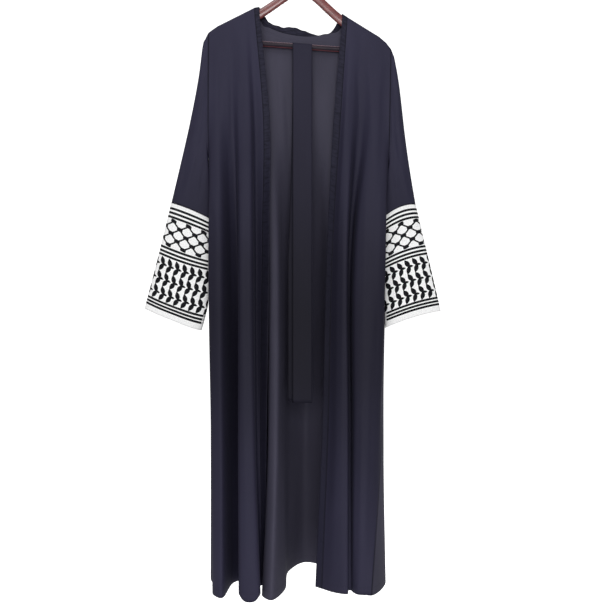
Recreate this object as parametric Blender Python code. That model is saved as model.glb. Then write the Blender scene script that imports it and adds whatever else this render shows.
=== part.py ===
"""Open-front abaya with white patterned cuffs, hung on a wooden hanger with its sash over the bar.

Metres, +Z up. The front faces -Y and X runs to the viewer's right. The origin is the inner top
of the hook, where a rail carries it. Tables are in millimetres and are scaled at the mesh.
"""
import math

import bpy
from mathutils import Vector

MM = 0.001

# Cloth thickness and seams
PANEL_WALL = 1.6
BAND_WALL = 2.2
CUFF_WALL = 2.0
SASH_WALL = 1.8
SEAM_GAP = 0.3

# The garment's main sizes
HEM_Z = -1517.0
UNDERARM_LEVEL = -508.6
SHOULDER_RISE = 0.54
ARM_RISE = 3.5
SHOULDER_LEVEL = -150.0
CHEST_LEVEL = -428.0
HALF_ARM = 9.5
SAME_PLACE = 0.01
SHADE_ANGLE = math.radians(50)

# The hanger, in its own upright frame, hung askew by TILT about the hook
TILT = math.radians(4.2)
ARM_THICK = 14.0
BAR_Z = -230.0
BAR_RADIUS = 6.0
BAR_HALF = 197.0
HOOK_WIRE = 1.9
HOOK_INNER = 19.0
HOOK_SIDES = 12
# Angles of the hook's bend in degrees, from its free end round to the shank
HOOK_BEND = range(195, -61, -15)
# Shank below the bend, down to the foot on the wood: x, z and half width
HOOK_SHANK = ((4.6, -44.5, 1.9), (1.0, -51.0, 1.9), (0.0, -57.0, 1.9), (0.0, -68.0, 1.9),
              (0.0, -69.5, 5.0), (0.0, -75.7, 5.5))

# The sash over the bar
SASH_WIDTH = 46.0
SASH_MID_X = -7.3
SASH_END_Z = -1077.0
SASH_SLIP = 11.0
SLIP_SHARE = 0.6
SASH_CURL = 1.2
CURL_START = 90.0
BAR_STEPS = 8
# Shares of the fall at which the tails have a row, above the tail's end
TAIL_SHARES = (0.07, 0.17, 0.3, 0.44, 0.58, 0.72, 0.86)
FRONT_END, BACK_END = 1.0, 0.995
# How far each tail leans away from the bar, and its sway in depth and in turns down the fall
FRONT_LEAN, FRONT_SWAY, FRONT_TURNS = 3.5, 1.6, 11
BACK_LEAN, BACK_SWAY, BACK_TURNS = 2.0, 1.4, 9
SASH_ACROSS = (-0.5, -0.25, 0.0, 0.25, 0.5)

# Shoulder line seen from the front, x and z, on the left and right of the neck
SHOULDER = ((-232.0, -192.4), (-229.2, -191.0), (-120.6, -138.0), (-105.0, -135.5),
            (86.0, -151.6), (99.2, -160.0), (203.2, -226.4), (206.0, -228.2))

# Seam between back panel and neck band, x, z and y, from the left shoulder to the right
NECK = ((-120.6, -138.0, 0.0), (-116.7, -139.2, 4.5), (-112.8, -146.5, 9.6), (-108.9, -158.5, 10.8),
        (-105.0, -168.5, 11.0), (-84.5, -181.5, 11.2), (-60.5, -191.4, 11.2), (-36.6, -197.4, 11.2),
        (-12.7, -201.0, 11.2), (11.3, -202.2, 11.2), (35.2, -199.8, 11.2), (59.1, -195.0, 11.2),
        (82.5, -185.5, 11.0), (90.5, -173.5, 10.8), (95.0, -163.5, 9.6), (97.8, -160.5, 6.0),
        (99.2, -160.0, 0.0))

# Free edge of the neck band over the same stretch, x of its seam, then x, z and y of the edge
NECK_EDGE = ((-120.6, -109.3, -138.4, 0.2), (-116.7, -105.8, -138.2, 5.5), (-112.8, -103.0, -142.0, 10.0),
             (-108.9, -100.0, -149.5, 11.4), (-105.0, -96.5, -155.0, 12.0), (-84.5, -84.0, -168.0, 13.5),
             (-60.5, -62.0, -176.5, 16.0), (-36.6, -37.0, -179.0, 13.0), (-12.7, -14.0, -183.0, 12.6),
             (11.3, 10.0, -191.0, 19.0), (35.2, 34.0, -194.0, 25.0), (59.1, 60.0, -189.0, 23.0),
             (82.5, 76.0, -169.0, 13.5), (90.5, 81.5, -160.5, 11.2), (95.0, 85.0, -155.0, 9.8),
             (97.8, 86.8, -152.8, 6.5), (99.2, 87.6, -152.4, 0.2))
# Shares of the neck band's height at its two inner rows, and how far the lower one bellies out
NECK_UPPER, NECK_LOWER = 0.66, 0.33
NECK_BELLY = 3.0

# Plan of the folds, from the left free edge round the back to the right free edge. Each row is
# name, cloth strips to the next fold, x at the shoulder, then x and y at the four levels below.
LEVELS = (CHEST_LEVEL, -654.0, -1166.0, HEM_Z)
LEFT_FOLDS = (
    ("free_edge", 2, -109.0, (-83.4, -14), (-84.5, -16), (-92.1, -6), (-95.0, 2)),
    ("band_seam", 2, -120.6, (-99.0, -11), (-101.8, -2), (-107.0, 6), (-104.5, 14)),
    ("inner_valley", 3, -131.6, (-119.2, -8), (-117.6, 4), (-115.5, 6), (-110.0, 2)),
    ("lobe_2_right", 2, -145.9, (-129.7, -28), (-126.7, -54), (-119.7, -72), (-107.4, -86)),
    ("lobe_2_left", 3, -162.6, (-155.6, -26), (-151.1, -52), (-149.6, -70), (-146.2, -84)),
    ("valley", 2, -179.2, (-168.8, -14), (-163.0, 2), (-157.3, 32), (-153.4, 48)),
    ("valley_flank", 2, -193.5, (-182.4, -17), (-176.9, -6), (-173.9, 14), (-172.0, 34)),
    ("lobe_1", 2, -210.2, (-204.7, -26), (-202.2, -50), (-198.8, -60), (-193.5, -66)),
    ("side_ridge", 2, -221.0, (-219.6, -22), (-224.5, -38), (-217.9, -44), (-213.1, -46)),
)
BACK_FOLDS = (
    ("side_ridge_left", 2, -222.5, (-221.0, 17), (-231.5, 40), (-231.0, 54), (-232.7, 68)),
    ("ridge_1", 2, -205.4, (-203.4, 24), (-212.8, 66), (-216.1, 96), (-218.5, 118)),
    ("hollow_1", 2, -176.9, (-171.0, 14), (-174.9, 30), (-179.2, 50), (-183.0, 64)),
    ("ridge_2", 3, -148.3, (-138.1, 24), (-143.8, 68), (-146.5, 104), (-148.1, 126)),
    ("lobe_3_root", 4, -120.6, (-112.0, 15), (-110.0, 36), (-92.0, 40), (-86.0, 22)),
    ("lobe_3_left", 2, -105.0, (-94.0, 12), (-89.0, 14), (-80.0, 0), (-90.0, -50)),
    ("lobe_3", 2, -84.5, (-79.7, 11), (-77.1, 8), (-70.0, -30), (-71.0, -76)),
    ("lobe_3_flank", 3, -60.5, (-53.5, 16), (-54.0, 34), (-55.0, 10), (-50.0, -20)),
    ("centre_left", 2, -31.7, (-27.2, 20), (-30.1, 62), (-38.0, 98), (-41.0, 112)),
    ("centre", 2, -0.7, (1.7, 22), (2.0, 84), (2.2, 136), (-0.3, 176)),
    ("centre_right", 3, 35.2, (32.9, 17), (36.4, 66), (37.5, 114), (36.0, 160)),
    ("hollow_2", 3, 86.0, (66.4, 13), (67.3, 36), (68.4, 62), (69.4, 88)),
    ("ridge_3", 2, 99.2, (100.6, 23), (103.4, 72), (105.7, 112), (107.6, 144)),
    ("hollow_3", 2, 119.0, (131.2, 14), (135.1, 34), (136.7, 54), (138.1, 72)),
    ("ridge_4", 2, 150.0, (165.2, 24), (172.1, 66), (172.1, 92), (171.5, 112)),
    ("side_ridge_right", 2, 190.0, (189.8, 16), (196.0, 40), (189.1, 40), (195.2, 40)),
)
RIGHT_FOLDS = (
    ("side_ridge", 2, 193.0, (189.2, -20), (187.5, -38), (169.6, -34), (140.4, -48)),
    ("lobe_2", 2, 177.8, (170.3, -27), (154.5, -46), (144.9, -50), (122.3, -44)),
    ("lobe_2_left", 2, 158.7, (151.8, -24), (129.8, -36), (122.5, -40), (112.5, -30)),
    ("valley_right", 2, 138.0, (134.5, -10), (117.0, 4), (114.5, 7), (110.5, 7)),
    ("valley_left", 2, 131.0, (124.0, -10), (105.0, 4), (103.0, 7), (100.5, 7)),
    ("lobe_1_right", 2, 120.6, (107.2, -24), (96.8, -42), (96.7, -44), (97.5, -40)),
    ("lobe_1", 2, 108.7, (92.7, -26), (80.6, -35), (74.6, -36), (68.1, -32)),
    ("band_seam", 2, 99.2, (81.9, -14), (67.7, -14), (53.7, -8), (39.5, -8)),
    ("free_edge", 2, 87.3, (65.6, -9), (53.9, -4), (39.7, 0), (24.3, 6)),
)
# Side seams below the underarm: level, left x and y, right x and y
SIDE_SEAMS = ((UNDERARM_LEVEL, -229.2, 0.0, 196.8, 0.0), (-540.0, -227.0, 1.0, 194.0, 1.0),
              (-590.0, -219.0, 2.0, 182.0, 2.0), (-654.0, -212.9, 3.0, 172.1, 3.0),
              (-1166.0, -215.9, 8.0, 178.5, -16.0), (HEM_Z, -220.4, 16.0, 153.0, -50.0))

# Cloth rows down the body. Over the hanger arm: drop below the shoulder line and share of the
# arm's half thickness. Between shoulder and chest: share of the way. Below: level and row slope.
ARM_ROWS = ((0.0, 0.0), (1.8, 0.47), (5.5, 0.84), (12.0, 1.0))
CHEST_ROWS = (0.25, 0.5, 0.75)
LOWER_ROWS = ((CHEST_LEVEL, 0.051), (-458.0, 0.051), (-490.0, 0.051), (UNDERARM_LEVEL, 0.051),
              (-540.0, 0.045), (-590.0, 0.03), (-654.0, 0.015), (-780.0, 0.0), (-910.0, 0.0),
              (-1040.0, 0.0), (-1166.0, 0.0), (-1290.0, 0.0), (-1410.0, 0.0), (HEM_Z, 0.0))
UNDERARM_ROW = len(ARM_ROWS) + len(CHEST_ROWS) + 3

# Depth of the armhole edge in front of and behind the shoulder, one value for each row above
# the underarm that lies below the hanger arm
ARMHOLE_FRONT = (12.0, 15.0, 17.0, 18.0, 16.5, 11.0)
ARMHOLE_BACK = (11.0, 13.0, 14.5, 15.0, 14.0, 9.5)
ARMHOLE_LEFT = ((-229.2, -191.0), (-229.2, -497.0))
ARMHOLE_RIGHT = ((202.8, -226.2), (196.8, -518.7))

# Sleeve sections below the armhole: outer x and z, inner x and z, depth in front and behind
LEFT_SLEEVE = ((-238.7, -208.0, -232.3, -499.5, 17.0, 15.0), (-243.5, -228.3, -232.8, -507.0, 17.0, 15.5),
               (-254.2, -309.3, -233.0, -524.0, 17.0, 16.5), (-274.4, -414.0, -232.8, -556.0, 16.0, 18.0),
               (-297.1, -513.9, -231.5, -592.0, 15.0, 19.0), (-318.2, -602.7, -226.0, -641.5, 13.0, 21.0))
RIGHT_SLEEVE = ((208.7, -240.0, 199.9, -521.5, 17.0, 15.0), (212.3, -261.7, 200.6, -528.0, 17.0, 15.5),
                (223.0, -323.5, 200.8, -542.0, 17.0, 16.5), (237.3, -447.3, 199.5, -567.0, 16.0, 18.0),
                (249.2, -530.6, 194.5, -602.0, 15.0, 19.0), (262.0, -606.8, 185.5, -637.0, 13.0, 21.0))
# How far each section has gone over from the armhole's outline to an even flattened ring
SLEEVE_EVENNESS = (0.0, 0.35, 0.7, 1.0, 1.0, 1.0)
# Spans next to the armhole that are left as one strip, and points that its low end lifts
SINGLE_SPANS = 2
UNDERARM_POINTS = 3

# Cuff sections from the sleeve seam to the hem, in the same columns
LEFT_CUFF = ((-318.2, -602.7, -226.0, -641.5, 13.0, 21.0), (-349.4, -730.5, -228.5, -771.0, 14.0, 24.0),
             (-381.5, -853.0, -233.0, -905.0, 15.0, 27.0))
RIGHT_CUFF = ((262.0, -606.8, 185.5, -637.0, 13.0, 21.0), (292.0, -732.9, 187.5, -768.0, 14.0, 24.0),
              (321.5, -859.0, 190.5, -899.0, 15.0, 27.0))
CUFF_SIDES = 24
CUFF_ROWS = 6
RING_SQUARENESS = 0.8
# The hem's inner corner is lifted: share across where it starts, and share of the lift by row
CORNER_LIFT = 26.0
CORNER_START = 0.86
CORNER_POWER = 1.5
CORNER_ROWS = ((-1, 1.0), (-2, 0.35))

# Centre line of the hanger's arm from the neck to the tip: x, z and height of the wood
HANGER_ARM = ((0, -91, 30), (14, -95.5, 27), (28, -106, 23), (46, -121, 20), (66, -137.5, 20),
              (90, -156, 20.5), (106, -166.5, 21), (144, -187.5, 22), (184, -208.5, 21),
              (198, -215.5, 16), (206.5, -222, 13.5), (209, -231, 12.5), (209, -243, 12))
WOOD_SIDES = 16
# Powers that square off the arm's round section in depth and in height
FLAT_POWER, TALL_POWER = 0.6, 0.8

MATERIALS = {
    "black_crepe": ((0.012, 0.011, 0.018), 0.62, 0.0),
    "white_cotton": ((0.82, 0.82, 0.80), 0.75, 0.0),
    "mahogany": ((0.19, 0.045, 0.048), 0.35, 0.0),
    "steel": ((0.62, 0.62, 0.64), 0.25, 1.0),
}


def read_at(table, x):
    """Values of a table at x, by straight interpolation on its first column."""
    rows = sorted(table)
    if x <= rows[0][0]:
        return rows[0][1:]
    for low, high in zip(rows, rows[1:]):
        if x <= high[0]:
            share = (x - low[0]) / (high[0] - low[0])
            return tuple(a + (b - a) * share for a, b in zip(low[1:], high[1:]))
    return rows[-1][1:]


def smooth_at(knots, values, t):
    """Point on a smooth curve through the values, at knot position t."""
    last = len(knots) - 1
    k = max(0, min(last - 1, sum(1 for knot in knots[1:-1] if t >= knot)))
    span = knots[k + 1] - knots[k]

    def slope(i):
        before, after = max(i - 1, 0), min(i + 1, last)
        if before == i or after == i:
            return (values[after] - values[before]) / (knots[after] - knots[before])
        left = (values[i] - values[before]) / (knots[i] - knots[before])
        right = (values[after] - values[i]) / (knots[after] - knots[i])
        share = (knots[i] - knots[before]) / (knots[after] - knots[before])
        return left * (1 - share) + right * share

    s = (t - knots[k]) / span
    start, end = values[k], values[k + 1]
    blend = start * (2 * s ** 3 - 3 * s ** 2 + 1) + end * (3 * s ** 2 - 2 * s ** 3)
    return blend + slope(k) * (span * (s ** 3 - 2 * s ** 2 + s)) + slope(k + 1) * (span * (s ** 3 - s ** 2))


def spline(points, steps, before=None, after=None):
    """Rounded run through the fold points, with the given number of strips in each span."""
    ghosts = ([before] if before else []) + list(points) + ([after] if after else [])
    knots = [0.0]
    for a, b in zip(ghosts, ghosts[1:]):
        knots.append(knots[-1] + max((b - a).length, 0.01) ** 0.6)
    first = 1 if before else 0
    run = []
    for i, count in enumerate(steps):
        low, high = knots[first + i], knots[first + i + 1]
        run += [smooth_at(knots, ghosts, low + (high - low) * n / count) for n in range(count)]
    run.append(ghosts[first + len(steps)].copy())
    return run


def unit(vector, fallback=(0.0, 0.0, 1.0)):
    return vector.normalized() if vector.length > 1e-9 else Vector(fallback)


def heading(before, here, after):
    """Direction through a point, halfway between the ways in and out of it."""
    way = Vector()
    if before is not None:
        way += (here - before).normalized()
    if after is not None:
        way += (after - here).normalized()
    return way


def grid_normals(grid, closed=False):
    """Normals of a grid of rows, square to the headings along and down it."""
    rows, columns = len(grid), len(grid[0])
    normals = []
    for v in range(rows):
        line = []
        for u, here in enumerate(grid[v]):
            before = grid[v][u - 1] if u > 0 or closed else None
            after = grid[v][(u + 1) % columns] if u < columns - 1 or closed else None
            above = grid[v - 1][u] if v > 0 else None
            below = grid[v + 1][u] if v < rows - 1 else None
            line.append(unit(heading(before, here, after).cross(heading(above, here, below))))
        normals.append(line)
    return normals


def into_plane(normal, plane_normal):
    return unit(normal - plane_normal * normal.dot(plane_normal))


def material(name):
    existing = bpy.data.materials.get(name)
    if existing:
        return existing
    colour, roughness, metallic = MATERIALS[name]
    made = bpy.data.materials.new(name)
    made.use_nodes = True
    shader = made.node_tree.nodes["Principled BSDF"]
    shader.inputs["Base Color"].default_value = (*colour, 1.0)
    shader.inputs["Roughness"].default_value = roughness
    shader.inputs["Metallic"].default_value = metallic
    return made


def add_object(name, points, faces, material_name):
    mesh = bpy.data.meshes.new(name)
    mesh.from_pydata([tuple(p * MM) for p in points], [], faces)
    mesh.shade_smooth()
    mesh.set_sharp_from_angle(angle=SHADE_ANGLE)
    mesh.materials.append(material(material_name))
    made = bpy.data.objects.new(name, mesh)
    bpy.context.collection.objects.link(made)
    return made


def add_wall(name, grid, normals, thickness, material_name, closed=False):
    """Closed wall round a grid: an outer and an inner skin, joined along every free edge."""
    rows, columns = len(grid), len(grid[0])
    half = thickness / 2
    outer = [grid[v][u] + normals[v][u] * half for v in range(rows) for u in range(columns)]
    inner = [grid[v][u] - normals[v][u] * half for v in range(rows) for u in range(columns)]
    skin = rows * columns

    def at(v, u):
        return v * columns + u % columns

    faces = []
    spans = columns if closed else columns - 1
    for v in range(rows - 1):
        for u in range(spans):
            a, b, c, d = at(v, u), at(v, u + 1), at(v + 1, u + 1), at(v + 1, u)
            faces.append((a, b, c, d))
            faces.append((skin + a, skin + d, skin + c, skin + b))
    for u in range(spans):
        a, b = at(0, u), at(0, u + 1)
        faces.append((a, skin + a, skin + b, b))
        a, b = at(rows - 1, u), at(rows - 1, u + 1)
        faces.append((b, skin + b, skin + a, a))
    if not closed:
        for v in range(rows - 1):
            a, b = at(v, 0), at(v + 1, 0)
            faces.append((b, skin + b, skin + a, a))
            a, b = at(v, columns - 1), at(v + 1, columns - 1)
            faces.append((a, skin + a, skin + b, b))
    return add_object(name, outer + inner, faces, material_name)


def hung(x, y, z):
    """A point of the hanger's upright frame, swung to how it hangs."""
    cos, sin = math.cos(TILT), math.sin(TILT)
    return Vector((x * cos + z * sin, y, z * cos - x * sin))


def fold_plan(fold, depth_sign, v):
    """Plan position of a fold in row v."""
    top_x = fold[2]
    if v < len(ARM_ROWS):
        return Vector((top_x, depth_sign * HALF_ARM * ARM_ROWS[v][1]))
    knots = [-SHOULDER_LEVEL] + [-level for level in LEVELS]
    values = [Vector((top_x, depth_sign * HALF_ARM))] + [Vector(pair) for pair in fold[3:]]
    return smooth_at(knots, values, -row_level(v))


def row_level(v):
    below = v - len(ARM_ROWS)
    if below < len(CHEST_ROWS):
        return SHOULDER_LEVEL + (CHEST_LEVEL - SHOULDER_LEVEL) * CHEST_ROWS[below]
    return LOWER_ROWS[below - len(CHEST_ROWS)][0]


def seam_plan(column, v):
    """Plan position of a side seam, column 1 for the left and 3 for the right."""
    knots = [-row[0] for row in SIDE_SEAMS]
    values = [Vector((row[column], row[column + 1])) for row in SIDE_SEAMS]
    return smooth_at(knots, values, -row_level(v))


def armhole_x(line, z):
    (top_x, top_z), (low_x, low_z) = line
    return top_x + (low_x - top_x) * (top_z - z) / (top_z - low_z)


def armhole_plan(line, depths, sign, v):
    """Plan position of the armhole edge in a row above the underarm."""
    if v < len(ARM_ROWS):
        return Vector((line[0][0], sign * HALF_ARM * ARM_ROWS[v][1]))
    share = (row_level(v) - SHOULDER_LEVEL) / (UNDERARM_LEVEL - SHOULDER_LEVEL)
    x = line[0][0] + (line[1][0] - line[0][0]) * share
    return Vector((x, sign * depths[v - len(ARM_ROWS)]))


def row_height(v, x, top_x, top_z):
    """Height of a row at x, for a column that starts at top_x and top_z."""
    if v < len(ARM_ROWS):
        return top_z - ARM_ROWS[v][0]
    below = v - len(ARM_ROWS)
    if below < len(CHEST_ROWS):
        start = top_z - ARM_ROWS[-1][0]
        return start + (CHEST_LEVEL - LOWER_ROWS[0][1] * x - start) * CHEST_ROWS[below]
    level, slope = LOWER_ROWS[below - len(CHEST_ROWS)]
    return level - slope * x


def row_count():
    return len(ARM_ROWS) + len(CHEST_ROWS) + len(LOWER_ROWS)


def front_grid(folds, side):
    """Rows of a front from its free edge to its side. side is -1 on the left and +1 on the right."""
    line = ARMHOLE_LEFT if side < 0 else ARMHOLE_RIGHT
    steps = [fold[1] for fold in folds]
    grid = []
    tops = None
    for v in range(row_count()):
        plan = [fold_plan(fold, -1, v) for fold in folds]
        if v < UNDERARM_ROW:
            run = spline(plan + [armhole_plan(line, ARMHOLE_FRONT, -1, v)], steps)
        else:
            beyond = fold_plan(BACK_FOLDS[0] if side < 0 else BACK_FOLDS[-1], 1, v)
            run = spline(plan + [seam_plan(1 if side < 0 else 3, v)], steps, after=beyond)
        tops = tops or [(p.x, read_at(SHOULDER, p.x)[0]) for p in run]
        grid.append([Vector((p.x, p.y, row_height(v, p.x, *top))) for p, top in zip(run, tops)])
    return grid


def back_grid():
    """Rows of the back from the left side to the right side, cut out round the neck."""
    steps = [2] + [fold[1] for fold in BACK_FOLDS]
    grid = []
    tops = None
    for v in range(row_count()):
        plan = [fold_plan(fold, 1, v) for fold in BACK_FOLDS]
        if v < UNDERARM_ROW:
            left = armhole_plan(ARMHOLE_LEFT, ARMHOLE_BACK, 1, v)
            right = armhole_plan(ARMHOLE_RIGHT, ARMHOLE_BACK, 1, v)
            run = spline([left] + plan + [right], steps)
        else:
            run = spline([seam_plan(1, v)] + plan + [seam_plan(3, v)], steps,
                         before=fold_plan(LEFT_FOLDS[-1], -1, v), after=fold_plan(RIGHT_FOLDS[0], -1, v))
        if tops is None:
            tops = [back_top(p.x) for p in run]
        line = []
        for p, (x, z, y) in zip(run, tops):
            if v < len(ARM_ROWS):
                p.y = y + (max(HALF_ARM, y) - y) * ARM_ROWS[v][1]
            line.append(Vector((p.x, p.y, row_height(v, p.x, x, z))))
        grid.append(line)
    return grid


def back_top(x):
    """Top of a back column at x: its x, z and y, on the shoulder seam or on the neck seam."""
    if NECK[0][0] <= x <= NECK[-1][0]:
        z, y = read_at(NECK, x)
        return x, z, y
    return x, read_at(SHOULDER, x)[0], 0.0


def on_armhole(grid, u, side):
    """Puts an edge column of the body on its armhole line, above the underarm."""
    line = ARMHOLE_LEFT if side < 0 else ARMHOLE_RIGHT
    for v in range(UNDERARM_ROW):
        grid[v][u].x = armhole_x(line, grid[v][u].z)


def armhole_plane(side):
    (top_x, top_z), (low_x, low_z) = ARMHOLE_LEFT if side < 0 else ARMHOLE_RIGHT
    return Vector((top_z - low_z, 0.0, low_x - top_x)).normalized() * side


def sew_sides(front, front_normals, back, back_normals, back_u, side):
    """Sets the shared side seam's normals and draws both edges back by half the seam gap."""
    plane = armhole_plane(side)
    inward = 1 if back_u == 0 else -1
    for v in range(row_count()):
        if v < UNDERARM_ROW:
            front_normals[v][-1] = into_plane(front_normals[v][-1], plane)
            back_normals[v][back_u] = into_plane(back_normals[v][back_u], plane)
            continue
        normal = unit(back_normals[v][back_u] - front_normals[v][-1] * side)
        across = back[v][back_u + inward] - front[v][-2]
        across = unit(across - normal * across.dot(normal)) * (SEAM_GAP / 2)
        front_normals[v][-1] = normal * -side
        back_normals[v][back_u] = normal
        front[v][-1] = front[v][-1] - across
        back[v][back_u] = back[v][back_u] + across


def split_band(grid, normals, columns):
    """The free-edge band and the rest of a front, parted along the band seam."""
    band = [[p.copy() for p in row[:columns + 1]] for row in grid]
    panel = [[p.copy() for p in row[columns:]] for row in grid]
    for v, row in enumerate(grid):
        normal = normals[v][columns]
        across = row[columns + 1] - row[columns - 1]
        across = unit(across - normal * across.dot(normal)) * (SEAM_GAP / 2)
        band[v][-1] -= across
        panel[v][0] += across
    band_normals = [row[:columns + 1] for row in normals]
    panel_normals = [row[columns:] for row in normals]
    return band, band_normals, panel, panel_normals


def level_shoulder(grid, normals, sign, columns):
    """Ends the top row just short of the shoulder seam, squarely to it."""
    for u in columns:
        grid[0][u].y = sign * SEAM_GAP / 2
        normals[0][u] = into_plane(normals[0][u], Vector((0.0, 1.0, 0.0)))


def roll_normals(grid, normals, sign):
    """Normals where the cloth rolls over the hanger's arm, square to the roll."""
    below_arm = grid[len(ARM_ROWS) - 1]
    for v in range(len(ARM_ROWS) - 1):
        for u, p in enumerate(grid[v]):
            before, after = below_arm[max(u - 1, 0)], below_arm[min(u + 1, len(below_arm) - 1)]
            side = -1.0 if p.x < 0 else 1.0
            up = Vector((side * SHOULDER_RISE, 0.0, 1.0)).normalized()
            share = min(1.0, abs(p.y) / HALF_ARM)
            normal = up * math.sqrt(1 - share * share) + Vector((0.0, sign * share, 0.0))
            along = after - before
            down = grid[v + 1][u] - grid[v][u]
            facing = 1.0 if along.cross(down).dot(normal) > 0 else -1.0
            normals[v][u] = normal.normalized() * facing


def neck_columns(back):
    """Columns of the back whose tops lie on the neck seam, with the two shoulder corners."""
    first, last = NECK[0][0] - SAME_PLACE, NECK[-1][0] + SAME_PLACE
    return [u for u, p in enumerate(back[0]) if first <= p.x <= last]


def build_body():
    """The back, the two fronts with their bands, and the neck band."""
    left = front_grid(LEFT_FOLDS, -1)
    right = front_grid(RIGHT_FOLDS[::-1], 1)
    back = back_grid()
    for grid, u, side in ((left, -1, -1), (right, -1, 1), (back, 0, -1), (back, -1, 1)):
        on_armhole(grid, u, side)
    armholes = {}
    for side, front, u in ((-1, left, 0), (1, right, -1)):
        front_edge = [front[v][-1].copy() for v in range(UNDERARM_ROW + 1)]
        back_edge = [back[v][u].copy() for v in range(UNDERARM_ROW)]
        armholes[side] = front_edge + back_edge[:0:-1]

    left_normals = grid_normals(left)
    right_normals = grid_normals(right)
    back_normals = grid_normals(back)
    seam = neck_columns(back)
    shoulders = [u for u in range(len(back[0])) if u <= seam[0] or u >= seam[-1]]
    panels = ((left, left_normals, -1), (right, right_normals, -1), (back, back_normals, 1))
    for grid, normals, sign in panels:
        roll_normals(grid, normals, sign)
    level_shoulder(left, left_normals, -1, range(len(left[0])))
    level_shoulder(right, right_normals, -1, range(len(right[0])))
    level_shoulder(back, back_normals, 1, shoulders)
    sew_sides(left, left_normals, back, back_normals, 0, -1)
    sew_sides(right, right_normals, back, back_normals, len(back[0]) - 1, 1)
    add_wall("back_panel", back, back_normals, PANEL_WALL, "black_crepe")
    build_neck_band(back, back_normals, seam)
    for name, grid, normals in (("left", left, left_normals), ("right", right, right_normals)):
        band, band_normals, panel, panel_normals = split_band(grid, normals, LEFT_FOLDS[0][1])
        add_wall("front_" + name, panel, panel_normals, PANEL_WALL, "black_crepe")
        add_wall("front_band_" + name, band, band_normals, BAND_WALL, "black_crepe")
    return armholes


def build_neck_band(back, back_normals, seam):
    """Upright band round the back of the neck, from one shoulder seam to the other."""
    lower = [back[0][u] for u in seam]
    rows = [[], [], [], []]
    for u, low in zip(seam, lower):
        edge_x, edge_z, edge_y = read_at(NECK_EDGE, low.x)
        edge = Vector((edge_x, max(edge_y, SEAM_GAP / 2), edge_z))
        up = unit(back[0][u] - back[1][u])
        toward = unit(edge - low)
        start = unit(up + toward)
        if u in (seam[0], seam[-1]):
            start = toward
        rows[0].append(edge)
        rows[1].append(low.lerp(edge, NECK_UPPER))
        rows[2].append(low.lerp(edge, NECK_LOWER) + (start - toward) * NECK_BELLY)
        rows[3].append(low + toward * SEAM_GAP)
    normals = grid_normals(rows)
    normals[3] = [back_normals[0][u] for u in seam]
    for row in normals:
        for u in range(len(seam)):
            if row[u].dot(normals[3][u]) < 0:
                row[u] = -row[u]
    for v, row in enumerate(rows):
        for u in (0, -1):
            row[u].y = SEAM_GAP / 2
            normals[v][u] = into_plane(normals[v][u], Vector((0.0, 1.0, 0.0)))
    add_wall("neck_band", rows, normals, BAND_WALL, "black_crepe")


def section_ring(section, places, shape):
    """A flattened ring: places are shares from the outer end, shape the share of the depth."""
    outer = Vector((section[0], 0.0, section[1]))
    inner = Vector((section[2], 0.0, section[3]))
    half = len(places) - 1
    ring = []
    for j in range(2 * half):
        k = j if j <= half else 2 * half - j
        depth = -section[4] if j <= half else section[5]
        if k in (0, half):
            depth = 0.0
        ring.append(outer.lerp(inner, places[k]) + Vector((0.0, depth * shape[k], 0.0)))
    return ring


def even_places(half):
    places = [(1 - math.cos(math.pi * k / half)) / 2 for k in range(half + 1)]
    shape = [max(math.sin(math.pi * k / half), 0.0) ** RING_SQUARENESS for k in range(half + 1)]
    return places, shape


def section_plane(section):
    chord = Vector((section[2] - section[0], 0.0, section[3] - section[1]))
    return unit(chord.cross(Vector((0.0, 1.0, 0.0))))


def square_ring(grid, normals, row, plane):
    """Sets a ring's normals to lie in its own section plane."""
    ring = grid[row]
    for j in range(len(ring)):
        tangent = ring[(j + 1) % len(ring)] - ring[j - 1]
        normal = into_plane(tangent.cross(plane), plane)
        normals[row][j] = normal if normal.dot(normals[row][j]) > 0 else -normal


def outward(grid, normals):
    """Turns every normal of a tube away from its ring's middle."""
    for ring, line in zip(grid, normals):
        middle = sum(ring, Vector()) / len(ring)
        count = sum(1 if n.dot(p - middle) > 0 else -1 for p, n in zip(ring, line))
        if count < 0:
            line[:] = [-n for n in line]


def build_sleeve(name, sections, armhole, side):
    """Sleeve tube from the armhole to the cuff seam."""
    plane = armhole_plane(side)
    half = UNDERARM_ROW
    first = [p + plane * SEAM_GAP for p in armhole]
    for j, p in enumerate(first):
        k = j if j <= half else 2 * half - j
        p.z += ARM_RISE * max(0.0, (k - half + UNDERARM_POINTS) / UNDERARM_POINTS) ** 2
        if k in (0, half):
            p.y = 0.0
    top, low = first[0].z, first[half].z
    arm_places = [(top - first[k].z) / (top - low) for k in range(half + 1)]
    widest = max(abs(p.y) for p in first[:half])
    arm_shape = [abs(first[k].y) / widest for k in range(half + 1)]
    places, shape = even_places(half)
    rings = [first]
    for section, share in zip(sections, SLEEVE_EVENNESS):
        mixed = [a + (b - a) * share for a, b in zip(arm_places, places)]
        deep = [a + (b - a) * share for a, b in zip(arm_shape, shape)]
        rings.append(section_ring(section, mixed, deep))
    grid = []
    for n in range(len(rings) - 1):
        parts = 1 if n < SINGLE_SPANS else 2
        for part in range(parts):
            grid.append([smooth_at(list(range(len(rings))), [ring[j] for ring in rings], n + part / parts)
                         for j in range(2 * half)])
    end = section_plane(sections[-1])
    end = end if end.z < 0 else -end
    grid.append([p - end * (SEAM_GAP / 2) for p in rings[-1]])
    normals = grid_normals(grid, closed=True)
    outward(grid, normals)
    square_ring(grid, normals, 0, plane)
    square_ring(grid, normals, len(grid) - 1, end)
    finish_tube(name, grid, normals, PANEL_WALL, "black_crepe")


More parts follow.
